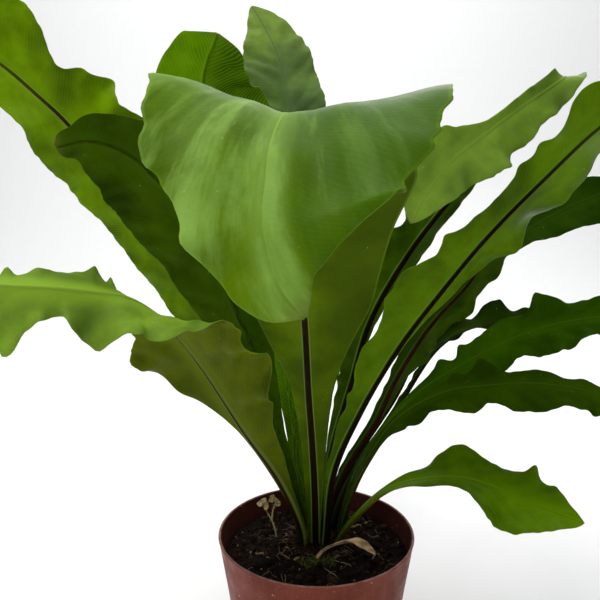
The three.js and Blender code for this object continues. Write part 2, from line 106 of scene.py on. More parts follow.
# Moulded details of the pot: foot edge (out, up), flat floor, faint rings on the wall, the groove above
# them, and the bead on the rim with its height and how far it stands out
FOOT_EDGE = ((-0.7, 0), (-0.2, 0.15), (0.15, 0.7))
FLOOR_RADIUS = 34
WALL_START = 2
WALL_END = POT_HEIGHT - 1.6
RING_HEIGHT = 0.05
RING_PACE = 2.1
RINGS_TOP = 88
GROOVE_PLACE = 88.4
GROOVE_DEPTH = 0.28
GROOVE_HALF = 0.5
BEAD_HEIGHT = 0.62
BEAD_PROUD = 0.12

# Fine unevenness of the soil: height and pace of the coarse part, height of the fine part
SOIL_COARSE = 1.1
SOIL_COARSE_PACE = 0.32
SOIL_FINE = 0.6

# Crumbs: how many, how many of them coarse, their sizes, lumps, squash and rise over the soil, every which
# one is pale, and how far out they lie
CRUMBS = 1500
COARSE_CRUMBS = 330
COARSE_SIZE = (1.0, 2.3)
FINE_SIZE = (0.4, 1.0)
CRUMB_LUMPS = 0.3
CRUMB_SQUASH = (0.55, 1.0)
CRUMB_RISE = 0.12
PALE_CRUMB = 37
SOIL_ROOM = 50

# Crown: foot of its dome, how far its middle lies below the knobs' tops, its drop to the edge and how round
# it is, heights of its knobs; number and lengths of its scales, of its hair roots, which start at one
# height, and of the dry roots on the soil, which dip at their ends
CROWN_DOME = 80
CROWN_SINK = 0.4
CROWN_DROP = 5.2
CROWN_ROUND = 2.6
CROWN_KNOBS = 0.9
CROWN_GRAIN = 0.45
SCALES = 620
SCALE_LENGTH = (2.5, 6.5)
SCALE_RADII = (0.34, 0.3, 0.22, 0.13, 0.04)
HAIR_ROOTS = 150
HAIR_LENGTH = (4, 13)
HAIR_START = 86
DRY_ROOTS = 46
DRY_ROOT_LENGTH = (6, 20)
DRY_ROOT_RISE = 0.55
DRY_ROOT_DIP = 0.9

# Moss: shoots and their lengths, middle of the cushion, spread and half size of its patch, radii up a shoot
MOSS_SHOOTS = 900
MOSS_LENGTH = (1.3, 3.0)
MOSS_PLACE = (0.8, -17.6)
MOSS_SPREAD = (4.6, 2.1)
MOSS_HALF = (10, 4.6)
MOSS_RADII = (0.3, 0.34, 0.22, 0.05)

# Dry twigs on the soil and broken stubs at the crown (start, heading, length, radius), and fine strands
# that droop over the soil (start, heading, length)
TWIGS = (
    ((21, 20.5, 0), (1, 0.28, 0), 15, 0.75),
    ((-34, -6, 0), (0.7, -0.6, 0), 11, 0.5),
    ((30, -14, 0), (0.5, 0.8, 0), 9, 0.45),
)
STUBS = (
    ((-9.5, -12.5, 84), (-0.1, -0.3, 1), 13, 0.9),
    ((-13.5, -9.5, 84), (-0.5, 0.1, 1), 17, 0.5),
    ((-12, -13, 83), (-0.8, -0.3, 0.7), 12, 0.45),
    ((8, -13, 84), (0.7, -0.5, 0.6), 13, 0.35),
)
STRANDS = (
    ((-8, -13.5, 86), (0.6, -1, -0.5), 26),
    ((2, -15, 85), (1, -0.4, 0.1), 24),
    ((6, -14, 85), (1, -0.2, 0.5), 20),
)
STRAND_RADIUS = 0.2
STRAND_RISE = 0.4

# Seedling: stems as in the solids, side hairs, and round cupped leaflets with a notch, on stalks
WEED_STEMS = [
    [[-23, 13, 77], [-23.5, 13.5, 85], [-26, 17, 91], [-31, 22, 97]],
    [[-26, 17, 91], [-25.5, 21, 95], [-24, 26, 98]],
]
WEED_STEM_RADIUS = 0.6
WEED_TIP_RADIUS = 0.36
WEED_STEPS = 22
WEED_HAIRS = 16
WEED_HAIR_LENGTH = (1.2, 2.6)
WEED_HAIR_RADII = [0.12, 0.1, 0.08, 0.04]
LEAFLETS = 5
LEAFLET_RADIUS = 1.7
LEAFLET_HALF = 0.16
LEAFLET_RINGS = 6
LEAFLET_SIDES = 26
LEAFLET_NOTCH = 0.16
LEAFLET_CUP = 0.35
LEAFLET_CRUMPLE = 0.25
LEAFLET_DROOP = 0.4
LEAFLET_LEAN = 0.3
LEAFLET_SPREAD = 2.2
STALK_RADII = [WEED_TIP_RADIUS, 0.24, 0.2]

# Frond blades, ribs and edge waves, as in the solids
BLADE = 0.7
RIB_BASE = 1.7
RIB_TIP = 0.6
RIB_DEPTH = 1.3
RIB_RISE = 0.3
WING = 0.5
SCALLOP = 0.07
WAVE_SECOND = 0.28
WAVE_RATE = 1.63
WAVE_SHIFT = 0.37
WAVE_GROWTH = 1.6
WAVE_FADE = 1.5
CURVE_SAMPLES = 400
CURVE_NUDGE = 1e-4

# Finer forms of a blade: distance between its rows of points, the edge's half thickness, the rounded
# length of its tip, the side veins' lean to the tip, distance and height, and that height on a blade with
# folds that fan out
ROW_STEP = 1.15
EDGE_HALF = 0.13
TIP_ROUND = 4.0
VEIN_LEAN = 0.55
VEIN_PACE = 3.4
VEIN_HEIGHT = 0.014
FAN_VEIN_HEIGHT = 0.006

# Uneven forms: nicks of the edge (divisor, length), what nicks and ruffles take off the width, the half
# width from which a ruffle is full and the share of the length over which it sets in, the lengths over
# which ruffles and pleats drift, and a slow sway of the face (height, length along, length across)
NICKS = ((2, 9.3), (3, 5.1), (2, 21.0))
NICK_SHARE = 0.014
CREST_SHARE = 0.035
RUFFLE_HALF = 9
RUFFLE_ONSET = 0.08
RUFFLE_DRIFT = 47
RUFFLE_BEAT = 71
PLEAT_DRIFT = 37
SWAY_HEIGHT = 0.5
SWAY_ALONG = 19
SWAY_ACROSS = 9

# Folds that fan out from one place on the rib: its share of the length, folds a radian and their height;
# how far ahead of it they set in, over what length, and how far off it and off the rib they are full
FANS = {"frond_front": (0.68, 3.2, 1.7)}
FAN_FREE = 34
FAN_ONSET = 40
FAN_FULL = 50
FAN_RIB = 6

# Each frond as in the solids: facing, folds at base and tip, waves (length, height, start), and rows of x,
# y, z, left half width, right half width and roll
FRONDS = {
    "frond_front": (-92, (20, 12), (60, 3.5, 0.2), [
        [-0.3, -5.8, 79, 2.2, 2.2, 0], [-0.4, -6.4, 94, 2.4, 2.4, 0], [-1, -11, 120, 5.5, 4, 0],
        [-2.5, -20, 150, 6, 7, 0], [-5, -35, 186, 9, 12.5, 0], [-6, -47, 206, 17, 21, 0],
        [-7, -60, 224, 24, 30, 0], [-10, -98, 266, 34, 40, -2], [-12, -134, 292, 36, 45, -6],
        [-13, -158, 297, 32, 42, -6], [-16, -178, 286, 30, 39, -2], [-16.6, -184, 278.5, 29, 35, -1],
        [-17, -190, 268, 17.5, 28, 0], [-13, -195, 255, 10, 10, 0], [-8, -197, 249, 2, 2, 0],
    ]),
    "frond_left_high": (-100, (18, 8), (38, 5, 0.6), [
        [-8.2, 8.4, 79, 2.2, 2.2, 0], [-9.6, 7.6, 96, 2.4, 2.4, 0], [-20, 3.5, 131, 4.5, 4.5, 0],
        [-37, -1, 171, 10, 10, 0], [-65, -6, 227, 18, 19, 0], [-96, -10, 277, 23, 33, 0],
        [-125, -13, 317, 29, 29, 0], [-139, -15.5, 331, 24, 19, 0], [-155, -18, 345, 19, 29, 0],
        [-181, -23, 361, 14, 21, 0], [-203, -29, 366, 2, 2, 0],
    ]),
    "frond_left_dark": (-105, (18, 6), (36, 4, 0.1), [
        [-8.8, 2.7, 79, 2.2, 2.2, 0], [-9.4, 1.6, 96, 2.4, 2.4, 0], [-14, -4, 124, 4, 3.5, 0],
        [-21, -11, 156, 8, 4, 0], [-29, -18, 192, 15, 7.5, 0], [-39, -24, 220, 24, 17, 0],
        [-51, -30, 247, 29, 25, 0], [-62, -36, 268, 32, 26, 4], [-74, -42, 287, 31, 24, 12],
        [-87, -49, 299, 24, 16, 32], [-101, -57, 303, 16, 12, 50], [-112, -62.5, 300, 8, 7, 55],
    ]),
    "frond_left_round": (-95, (18, 10), (58, 3, 0.4), [
        [-2.4, 3.1, 79, 2.2, 2.2, 0], [-3, 3.8, 96, 2.4, 2.4, 0], [-10.5, 9, 130, 3.5, 4, 0],
        [-14, 13, 165, 7, 8, 0], [-25, 18, 215, 17, 21, 0], [-40, 22, 268, 29, 29, 0],
        [-54, 22, 312, 33, 33, 0], [-62, 20, 341, 30, 29, 0], [-59, 17, 355, 23, 24, 0],
        [-55, 15, 363, 17, 17, 0], [-53, 14, 368, 6, 6, 0],
    ]),
    "frond_back_tip": (88, (18, 10), (40, 3.5, 0.3), [
        [0.1, 8.4, 79, 2.2, 2.2, 0], [0, 10, 96, 2.4, 2.4, 0], [-3, 18, 130, 4.5, 4.5, 0],
        [-7, 27, 170, 7.5, 7.5, 0], [-11, 43, 220, 15, 15, 0], [-14, 65, 280, 22, 25, 0],
        [-16, 92, 340, 24, 31, 0], [-25, 116, 384, 21, 26, 0], [-36, 128, 408, 12, 12, 0],
        [-44, 135, 422, 2, 2, 0],
    ]),
    "frond_left_low": (180, (18, -30), (30, 7, 0.4), [
        [-6.3, -2.5, 79, 2.2, 2.2, 30], [-7.4, -4.4, 95, 2.4, 2.4, 50], [-20, -18, 132, 3, 6, 75],
        [-37, -33, 165, 3, 16, 75], [-54, -48, 200, 18, 33, 75], [-61.5, -56.5, 214.5, 25, 31, 68],
        [-69, -65, 227, 17, 30, 60], [-80, -78, 238, 20, 21, -10], [-91, -85, 241, 17, 21, -40],
        [-103, -90, 243, 13, 11, -50], [-113, -93.5, 244, 11, 17, -50], [-119, -95.5, 244.5, 9, 27, -50],
        [-124, -97, 245, 8, 12, -50], [-131, -99, 245, 2, 2, -50],
    ]),
    "frond_right_high": (-75, (20, 10), (44, 3, 0.5), [
        [3.6, 0.9, 79, 2.2, 2.2, 0], [4.4, 0.6, 96, 2.4, 2.4, 0], [7.8, 2, 135, 3, 2, 0],
        [19.7, 3, 180, 8, 2.4, 0], [29, 0, 215, 14, 5, 0], [48, -3, 251, 15, 10, 0],
        [71, -4, 282, 11, 8, 0], [99, -7, 314, 7, 8, 0], [119, -14, 336, 6, 10, 0],
        [116, -27, 336, 6, 9, 0], [97, -37, 324, 5, 12, 0], [77, -45, 310, 4.5, 16, 0],
        [56, -54, 294, 15, 15, 0], [44, -60, 279, 12, 9, 0], [38, -63, 268, 2, 2, 0],
    ]),
    "frond_right_front": (-70, (14, 8), (38, 5, 0.0), [
        [5.1, -5.4, 79, 2.2, 2.2, 0], [6, -6.6, 96, 2.4, 2.4, 0], [9.4, -11, 134, 4.5, 2, 0],
        [22.5, -18, 170, 9, 2.2, 0], [41, -26, 207, 17, 3.6, 0], [58, -34, 234, 22, 9, 0],
        [77, -44, 262, 12, 24, 0], [98, -55, 288, 12, 24, 0], [117, -64, 309, 18, 21, 0],
        [135, -72, 322, 14, 15, 0], [152, -79, 326, 2, 2, 0],
    ]),
    "frond_right_mid": (-60, (18, 10), (36, 5, 0.8), [
        [5.4, 5.9, 79, 2.2, 2.2, 0], [6.6, 6.6, 96, 2.4, 2.4, 0], [17, 9, 126, 3.5, 3, 0],
        [35, 13, 155, 4, 4.5, 0], [46, 16, 178, 4.5, 11, 0], [66.5, 19, 210, 13, 25, 0],
        [86, 20, 232, 18, 26, 0], [102, 21, 256, 17, 20, 0], [118, 22, 277, 13, 14, 0],
        [134, 23, 294, 2, 2, 0],
    ]),
    "frond_right_far": (-20, (16, 8), (38, 5, 0.2), [
        [6.1, 13.9, 79, 2.2, 2.2, 0], [7.5, 15.5, 96, 2.4, 2.4, 0], [25, 26, 128, 3.5, 3.5, 0],
        [51, 42, 162, 3.5, 4.5, 0], [74, 53, 206, 8, 12, 15], [106, 60, 242, 9, 16, 40],
        [142, 62, 267, 15, 19, 58], [176, 61, 284, 22, 14, 62], [203, 58, 291, 2, 2, 62],
    ]),
    "frond_right_dark": (-30, (18, 8), (34, 5, 0.5), [
        [9.9, 10.8, 79, 2.2, 2.2, 0], [11.4, 12, 96, 2.4, 2.4, 0], [23, 20, 121, 2.6, 2.6, 0],
        [50, 30, 158, 3, 3, 0], [76, 43, 191, 6, 7, 15], [97, 47, 203, 12, 12, 25],
        [122, 50, 206, 14, 14, 25], [147, 51, 204, 10, 10, 20], [169, 50, 197, 2, 2, 15],
    ]),
    "frond_right_light": (-10, (12, 6), (34, 6, 0.3), [
        [11.8, 6.3, 79, 2.2, 2.2, 0], [13.6, 6.8, 94, 2.4, 2.4, 0], [22, 8, 124, 5, 2, 10],
        [38, 8, 151, 6.5, 2.2, 20], [59, 8, 173, 8, 5, 30], [82, 7, 189, 14, 9, 35],
        [107, 3, 204, 19, 14, 35], [131, -3, 214, 20, 18, 35], [152, -9, 218, 13, 12, 35],
        [172, -15, 216, 2, 2, 35],
    ]),
    "frond_right_low": (-10, (12, 6), (32, 6, 0.6), [
        [11.7, 2, 79, 2.2, 2.2, 0], [13.8, 0.8, 93, 2.4, 2.4, 0], [19.4, -3, 117.9, 2.2, 2.2, 10],
        [29.1, -8, 141.6, 2.5, 3, 20], [44, -14, 165.7, 10, 3, 30], [67, -20, 181.2, 16, 6, 30],
        [87.2, -26, 186, 17, 13, 30], [105.7, -34, 189.3, 19, 8, 30], [131.5, -44, 187.2, 14, 6, 30],
        [150.9, -53, 178.4, 2, 2, 30],
    ]),
    "frond_right_lowest": (-12, (12, 6), (34, 6, 0.1), [
        [9.3, -2.5, 79, 2.2, 2.2, 0], [12.6, -4.6, 92, 2.4, 2.4, 0], [22, -9, 108, 2.4, 2.4, 0],
        [37, -13, 124, 3.2, 3.2, 5], [54, -17, 132, 8, 8, 15], [75, -21, 135, 7, 17, 30],
        [91, -25, 132, 21, 14, 35], [105, -30, 127, 21, 15, 35], [119, -35, 123, 13, 14, 30],
        [133, -39, 119, 2, 2, 20],
    ]),
    "frond_back_left": (130, (16, 8), (38, 6, 0.4), [
        [-4.5, 13.1, 79, 2.2, 2.2, 0], [-6.4, 15.4, 94, 2.4, 2.4, 0], [-18, 27, 125, 4.5, 4.5, 0],
        [-36, 44, 162, 9, 9, 0], [-54, 67, 205, 21, 21, 0], [-72, 94, 240, 24, 24, 0],
        [-88, 122, 262, 21, 21, 0], [-102, 148, 270, 14, 14, 0], [-112, 168, 268, 2, 2, 0],
    ]),
    "frond_back_right": (70, (16, 8), (40, 6, 0.9), [
        [1.1, 15, 79, 2.2, 2.2, 0], [1.6, 18, 94, 2.4, 2.4, 0], [3, 34, 122, 4, 4, 0],
        [5, 56, 156, 8, 8, 0], [12, 84, 192, 18, 19, 0], [22, 114, 220, 24, 24, 0],
        [33, 144, 236, 21, 21, 0], [43, 170, 240, 14, 14, 0], [50, 190, 235, 2, 2, 0],
    ]),
}
DRY_FROND = (-60, (0, 40), (14, 0.8, 0.3), [
    [0, -13.8, 78, 1, 1, 0], [0.8, -14.6, 87, 1, 1, 0], [6, -14.6, 92, 1.1, 1.1, 0],
    [13, -14, 94.5, 1.3, 1.3, 0], [20, -14, 95, 2.4, 2.4, 0], [27, -15, 92, 2.7, 2.7, 0],
    [32, -16, 88.5, 1, 1, 0],
])

# The dried frond: how slim it is, the distance between its rows, its pleats and its ruffle
DRY_SLIM = 0.45
DRY_STEP = 0.5
DRY_PLEAT = (5, 0.2, 0.6)
DRY_RUFFLE = (6, 0.4, 0)

# Each frond's colours (upper face, lower face, rib below), then its pleats (length, height, lean to the
# tip) and the small ruffle at its edge (length, height, share of the frond's length where it sets in)
# The bright yellow-green of frond_left_high and frond_left_round is partly painted light that shines
# through them from behind
# The dark greens of frond_left_dark, frond_right_mid, frond_right_far and frond_right_dark are partly
# painted shade, as these fronds lie in shade under the others
LOOKS = {
    "frond_front": ((116, 160, 54), (76, 102, 0), (26, 14, 8), (38, 0.2, 2.6), (29, 2.3, 0.8)),
    "frond_left_high": ((88, 126, 26), (92, 128, 4), (50, 30, 14), (23, 1.0, 1.0), (17, 1.3, 0)),
    "frond_left_dark": ((48, 78, 8), (50, 76, 6), (48, 72, 8), (21, 0.9, 0.9), (19, 0.9, 0)),
    "frond_left_round": ((80, 122, 12), (84, 126, 0), (78, 116, 0), (26, 0.4, 0.8), (30, 0.4, 0)),
    "frond_back_tip": ((54, 82, 44), (66, 98, 8), (60, 42, 20), (17, 1.3, 0.9), (25, 1.0, 0)),
    "frond_left_low": ((106, 140, 42), (72, 86, 6), (46, 32, 20), (19, 1.5, 1.3), (15, 3.6, 0.56)),
    "frond_right_high": ((102, 134, 46), (62, 92, 2), (20, 12, 6), (19, 0.9, 1.0), (16, 1.6, 0)),
    "frond_right_front": ((78, 112, 12), (70, 102, 0), (18, 10, 4), (25, 0.8, 0.9), (19, 1.0, 0)),
    "frond_right_mid": ((42, 68, 4), (40, 64, 2), (40, 22, 12), (11, 0.35, 0.6), (14, 1.4, 0)),
    "frond_right_far": ((26, 50, 4), (24, 46, 4), (38, 26, 12), (12, 0.35, 0.6), (17, 0.8, 0)),
    "frond_right_dark": ((26, 46, 4), (24, 42, 2), (36, 26, 10), (11, 0.35, 0.6), (15, 1.6, 0)),
    "frond_right_light": ((36, 66, 0), (42, 70, 2), (74, 50, 24), (15, 0.8, 1.0), (22, 2.6, 0.35)),
    "frond_right_low": ((36, 60, 2), (38, 62, 2), (62, 42, 20), (15, 0.8, 1.0), (23, 2.4, 0.3)),
    "frond_right_lowest": ((76, 112, 0), (70, 106, 0), (84, 72, 22), (16, 1.0, 1.6), (22, 2.2, 0.5)),
    "frond_back_left": ((64, 98, 10), (66, 96, 8), (62, 42, 18), (12, 0.4, 0.6), (16, 1.6, 0)),
    "frond_back_right": ((66, 102, 10), (64, 94, 6), (62, 42, 18), (12, 0.4, 0.6), (16, 1.6, 0)),
}

# The upper face at its tip where it has another colour; the darker tip of frond_front is painted shade,
# as the lower end of its drooping blade faces away from the light
TIP_COLOURS_AND_SHADE = {
    "frond_front": (80, 112, 4),
    "frond_back_tip": (112, 142, 56),
    "frond_left_low": (112, 146, 48),
    "frond_right_lowest": (80, 118, 4),
}

# Side veins below (lean, distance, strength), the pale zone beside the rib (width, strength), the share
# of the rib that is dark, and how far painted shade darkens the right half, for most fronds and where
# they differ; then the roughness of every blade
PLAIN_VEIN = (VEIN_LEAN, 1.5, 0.15)
VEINS = {"frond_left_low": (1.9, 1.5, 0.8), "frond_left_round": (1.0, 2.5, 0.55)}
PLAIN_ZONE = (7.0, 0.3)
# On frond_left_low the broad, strong pale zone beside the rib is partly its own paler tissue and partly a
# painted sheen
RIB_ZONES = {"frond_left_low": (9.0, 0.75)}
RIB_CORES = {"frond_left_low": 0.5}
PAINTED_SHADE_RIGHT = {"frond_front": 0.7}
BLADE_ROUGHNESS = (0.32, 0.48)

# Colours within a blade, among them the painted shade in the grooves of the folds that fan out
FOOT_GREEN = (30, 50, 3)
TIP_BROWN = (112, 92, 48)
BLOT_OLIVE = (92, 88, 34)
DUST_PALE = (196, 204, 160)
PAINTED_GROOVE_SHADE = (60, 96, 6)
RIB_FOOT = (14, 9, 6)
RIDGE_FOOT = (62, 50, 26)

# Dried leaf and its grain, then earthy matter: darkest and lightest colour, roughness, scale of the
# grain, strength of pale specks
DRY_LEAF = (204, 170, 122)
DRY_GRAIN = (0.2, 1, 1)
EARTH = {
    "soil_bed": ((17, 11, 9), (38, 27, 22), 0.95, 900, 0.5),
    "soil_crumbs": ((18, 12, 9), (74, 54, 40), 0.92, 1300, 0),
    "root_fibres": ((36, 24, 16), (104, 78, 50), 0.85, 1500, 0),
    "crown_bark": ((34, 25, 18), (78, 60, 42), 0.9, 700, 0),
    "moss": ((52, 66, 20), (120, 136, 48), 0.85, 1600, 0),
    "dry_twig": ((92, 68, 46), (150, 120, 86), 0.8, 1200, 0),
    "seedling": ((138, 124, 76), (196, 182, 136), 0.8, 700, 0),
}
PALE_GRAIN = (168, 152, 126)

# The pot's plastic, what lies on it, its painted shade inside and its painted rim highlight, then the stage
# sheet
PLASTIC_DARK = (108, 48, 33)
PLASTIC_LIGHT = (132, 64, 48)
PLASTIC_STREAK = (150, 92, 80)
PAINTED_SHADE_INSIDE = (58, 27, 21)
PAINTED_RIM_HIGHLIGHT = (164, 122, 112)
POT_DUST = (196, 170, 154)
POT_SPOT = (214, 196, 182)
POT_NEAR_SOIL_DARK = (40, 26, 20)
STAGE_GREY = (246, 246, 246)
STAGE_PALE = (250, 250, 250)

# Each piece has its own series of random draws
SERIES = {name: number for number, name in enumerate(FRONDS)}
SERIES |= {"dry_frond": 50, "soil_crumbs": 101, "crown_fibres": 102, "moss_cushion": 103}
SERIES |= {"dry_twigs": 104, "weed_shoots": 105}


def draws(name):
    return np.random.default_rng([SEED, SERIES[name]])


def linear(colour):
    """An sRGB colour in bytes as a linear colour."""
    shares = [c / 255 for c in colour]
    made = [c / 12.92 if c <= 0.04045 else ((c + 0.055) / 1.055) ** 2.4 for c in shares]
    return (*made, 1.0)


def toned(colour, by, warm=0):
    """A colour made lighter or darker by a share and warmer by some bytes, as a linear colour."""
    red, green, blue = (c * (1 + by) for c in colour)
    return linear([min(max(c, 0), 255) for c in (red + warm, green + warm * 0.4, blue - warm * 0.6)])


def washed(colour, gains, added):
    """A colour with a gain and some bytes added in each channel, as a linear colour."""
    return linear([c * gain + more for c, gain, more in zip(colour, gains, added)])


class Shade:
    """A node material as it is put together: most methods add nodes and return the last one's result."""

    def __init__(self, name):
        self.material = bpy.data.materials.new(name)
        self.material.use_nodes = True
        self.tree = self.material.node_tree
        self.tree.nodes.clear()
        self.surface = self.node("BsdfPrincipled")
        self.node("OutputMaterial", self.surface.outputs[0])

    def put(self, socket, value):
        if isinstance(value, bpy.types.NodeSocket):
            self.tree.links.new(value, socket)
        else:
            socket.default_value = value

    def node(self, kind, *values, **named):
        """A new node with values for its first inputs and for some by name."""
        made = self.tree.nodes.new("ShaderNode" + kind)
        for socket, value in zip(made.inputs, values):
            self.put(socket, value)
        for name, value in named.items():
            self.put(made.inputs[name], value)
        return made

    def set(self, **values):
        for name, value in values.items():
            self.put(self.surface.inputs[name.replace("_", " ")], value)

    def math(self, operation, *values):
        made = self.node("Math", *values)
        made.operation = operation
        return made.outputs[0]

    def times(self, first, *others):
        for other in others:
            first = self.math("MULTIPLY", first, other)
        return first

    def fit(self, value, low, high, to_low=0.0, to_high=1.0):
        """A value between low and high, carried smoothly to between to_low and to_high."""
        made = self.node("MapRange", value, low, high, to_low, to_high)
        made.interpolation_type = "SMOOTHSTEP"
        return made.outputs[0]

    def mix(self, share, first, second):
        """The first colour, or where the share is 1 the second one."""
        made = self.node("Mix", share)
        made.data_type = "RGBA"
        self.put(made.inputs[6], first)
        self.put(made.inputs[7], second)
        return made.outputs[2]

    def layers(self, colour, *laid):
        """A colour with others laid over it in turn, each by its share."""
        for share, over in laid:
            colour = self.mix(share, colour, over)
        return colour

    def place(self, stretch=(1, 1, 1)):
        """The point's place in the object's own space, stretched along each axis."""
        where = self.node("TexCoord").outputs["Object"]
        return self.node("Mapping", Vector=where, Scale=stretch).outputs[0]

    def noise(self, where, scale, detail=3.0, rough=0.55):
        return self.node("TexNoise", Vector=where, Scale=scale, Detail=detail, Roughness=rough).outputs[0]

    def dots(self, where, scale, size, strength):
        """Soft dots, one in each cell."""
        cells = self.node("TexVoronoi", Vector=where, Scale=scale)
        return self.fit(cells.outputs["Distance"], 0.0, size, strength, 0.0)

    def split(self, where):
        return tuple(self.node("SeparateXYZ", where).outputs)

    def join(self, *parts):
        return self.node("CombineXYZ", *parts).outputs[0]

    def field(self, name):
        """The three numbers that a mesh keeps at each point under a name."""
        made = self.node("Attribute")
        made.attribute_name = name
        return self.split(made.outputs["Vector"])

    def bump(self, height, distance, strength):
        made = self.node("Bump", Strength=strength, Distance=distance, Height=height)
        self.set(Normal=made.outputs[0])


def fan_folds(s, start, aside, off, along, share):
    """Rays from one place on the rib: painted highlights on their crests and painted shade in their
    grooves.
    """
    ahead = s.math("SUBTRACT", share, start)
    ahead_mm = s.times(ahead, s.math("DIVIDE", along, s.math("MAXIMUM", share, 0.01)))
    ray = s.math("ARCTAN2", off, ahead_mm)
    polar = s.join(s.times(ray, 8.0), s.times(along, 0.02), s.math("SIGN", aside))
    folds = s.noise(polar, 1.0, 5, 0.62)
    begun = s.fit(ahead, 0.0, 0.06)
    return s.times(s.fit(folds, 0.47, 0.66), begun), s.times(s.fit(folds, 0.34, 0.48, 0.6, 0.0), begun)


def blade_material(frond_name, upper, lower, rib_colour, pleat):
    """A living blade: its colour changes from base to tip and from rib to edge, with fine veins."""
    s = Shade(frond_name + "_skin")
    upper_tip = TIP_COLOURS_AND_SHADE.get(frond_name, upper)
    vein_lean, vein_pace, vein_strength = VEINS.get(frond_name, PLAIN_VEIN)
    zone_width, zone_strength = RIB_ZONES.get(frond_name, PLAIN_ZONE)
    core = RIB_CORES.get(frond_name, 1.0)
    fan = FANS.get(frond_name)
    aside, along, face = s.field("blade")
    rib, reach, share = s.field("form")
    off = s.math("ABSOLUTE", aside)
    where = s.place()
    broad = s.fit(s.noise(where, 26, 4), 0.32, 0.68)
    mottle = s.fit(s.noise(where, 150, 4, 0.6), 0.35, 0.7)

    def by_face(below, over):
        return s.fit(face, 0.4, 0.6, below, over)

    def side_lines(lean, pace, wander):
        """A wave from 0 to 0.5 across lines that leave the rib and lean to the tip."""
        turns = s.math("DIVIDE", s.math("SUBTRACT", along, s.times(off, lean)), pace)
        return s.math("PINGPONG", s.math("ADD", turns, wander), 0.5)

    # Fine side veins, and painted highlights: broad soft streaks along the pleats or on the crests of
    # folds that fan out
    above = by_face(0.0, 1.0)
    vein = s.fit(side_lines(vein_lean, vein_pace, s.times(s.noise(where, 60, 2), 1.6)), 0.0, 0.3, 1.0, 0.0)
    length, height, lean = pleat
    wander = s.times(s.noise(where, 30, 2), 1.5 / (1 + height))
    painted_crest_highlight = s.fit(side_lines(lean, length * 0.8, wander), 0.08, 0.46)
    painted_crest_highlight = s.times(painted_crest_highlight, s.fit(off, 1.0, 12.0))
    if fan:
        painted_crest_highlight, groove = fan_folds(s, fan[0], aside, off, along, share)

    # Leaf tissue
    top = s.mix(broad, toned(upper, -0.22), toned(upper, 0.14, 5))
    # On the front frond the tip colour is painted shade on the down-facing end of the blade
    top_end = s.mix(broad, toned(upper_tip, -0.16), toned(upper_tip, 0.14, 6))
    top = s.mix(s.fit(share, 0.66, 0.98), top, top_end)
    under = s.mix(broad, toned(lower, -0.27), toned(lower, 0.2, 8))
    leaf = s.mix(above, under, top)
    # On a blade with folds that fan out, the bluish pale colour is a painted sheen, laid mostly on its fold
    # crests
    pale_top = washed(upper, (1.2, 1.14, 1), (10, 8, 34)) if fan else toned(upper, 0.26, 6)
    pale = s.mix(above, washed(lower, (1.28, 1.26, 1), (8, 9, 16)), pale_top)
    deep = s.mix(above, toned(lower, -0.36), toned(upper, -0.32))
    # Painted highlight on the crests of the pleats or of the folds that fan out
    leaf = s.mix(s.times(painted_crest_highlight, 0.6 if fan else 0.2), leaf, pale)
    if fan:
        # Painted shade in the grooves of the folds that fan out
        leaf = s.mix(s.times(groove, above), leaf, linear(PAINTED_GROOVE_SHADE))
    # Painted shade that darkens the right half of a blade, used on the front frond
    painted_shade = s.mix(above, deep, washed(upper, (0.5, 0.58, 0), (0, 0, 4)))
    near_rib = s.fit(off, 1.2, zone_width, zone_strength, 0.0)
    leaf = s.layers(
        leaf,
        (s.fit(aside, -8.0, 24.0, 0.0, PAINTED_SHADE_RIGHT.get(frond_name, 0.0)), painted_shade),
        (s.times(mottle, 0.22), deep),
        (s.times(vein, by_face(vein_strength, 0.02 if fan else 0.07)), pale),
        (s.times(near_rib, s.fit(share, 0.2, 0.5)), pale),
        (s.times(s.fit(reach, 0.965, 0.995), 0.12), toned(upper, 0.4, 14)),
        (s.fit(share, 0.04, 0.4, 0.62, 0.0), linear(FOOT_GREEN)),
        (s.times(s.dots(where, 70, 0.06, 1.0), mottle, 0.4), linear(BLOT_OLIVE)),
        (s.times(s.dots(where, 170, 0.065, 0.8), broad), linear(DUST_PALE)),
        (s.fit(share, 0.985, 1.0, 0.0, 0.35), linear(TIP_BROWN)),
    )

    # Rib: dark below with a thin pale line on either side, a fine pale ridge above
    streak = s.fit(s.noise(s.join(aside, s.times(along, 0.06)), 2.2, 3), 0.3, 0.7)
    rib_low = s.layers(
        s.mix(streak, toned(rib_colour, -0.3), toned(rib_colour, 0.3, 6)),
        (s.fit(share, 0.05, 0.4, 0.6, 0.0), linear(RIB_FOOT)),
        (s.fit(share, 0.72, 1.0, 0.0, 0.8), toned(lower, -0.1, 12)),
    )
    ridge = washed(upper, (1.14, 1.08, 1), (10, 8, 14))
    rib_any = s.mix(above, rib_low, s.mix(s.fit(share, 0.05, 0.4), linear(RIDGE_FOOT), ridge))
    rib_end = by_face(core, 0.55)
    rib_mask = s.fit(rib, s.times(rib_end, 0.8), rib_end, 1.0, 0.0)
    if fan:
        rib_mask = s.times(rib_mask, s.math("SUBTRACT", 1, s.times(above, 0.45)))
        rib_mask = s.times(rib_mask, s.fit(share, 0.84, 0.94, 1.0, 0.3))
    pale_line = 0.0 if rib_colour[1] > rib_colour[0] else 0.75
    line = s.times(s.fit(rib, core, core + 0.2), s.fit(rib, core + 0.25, 1.7, 1.0, 0.0))
    line = s.times(line, by_face(pale_line, 0.0))
    leaf = s.mix(line, leaf, washed(lower, (1.15, 1.15, 1), (36, 34, 58)))
    s.set(Base_Color=s.mix(rib_mask, leaf, rib_any))

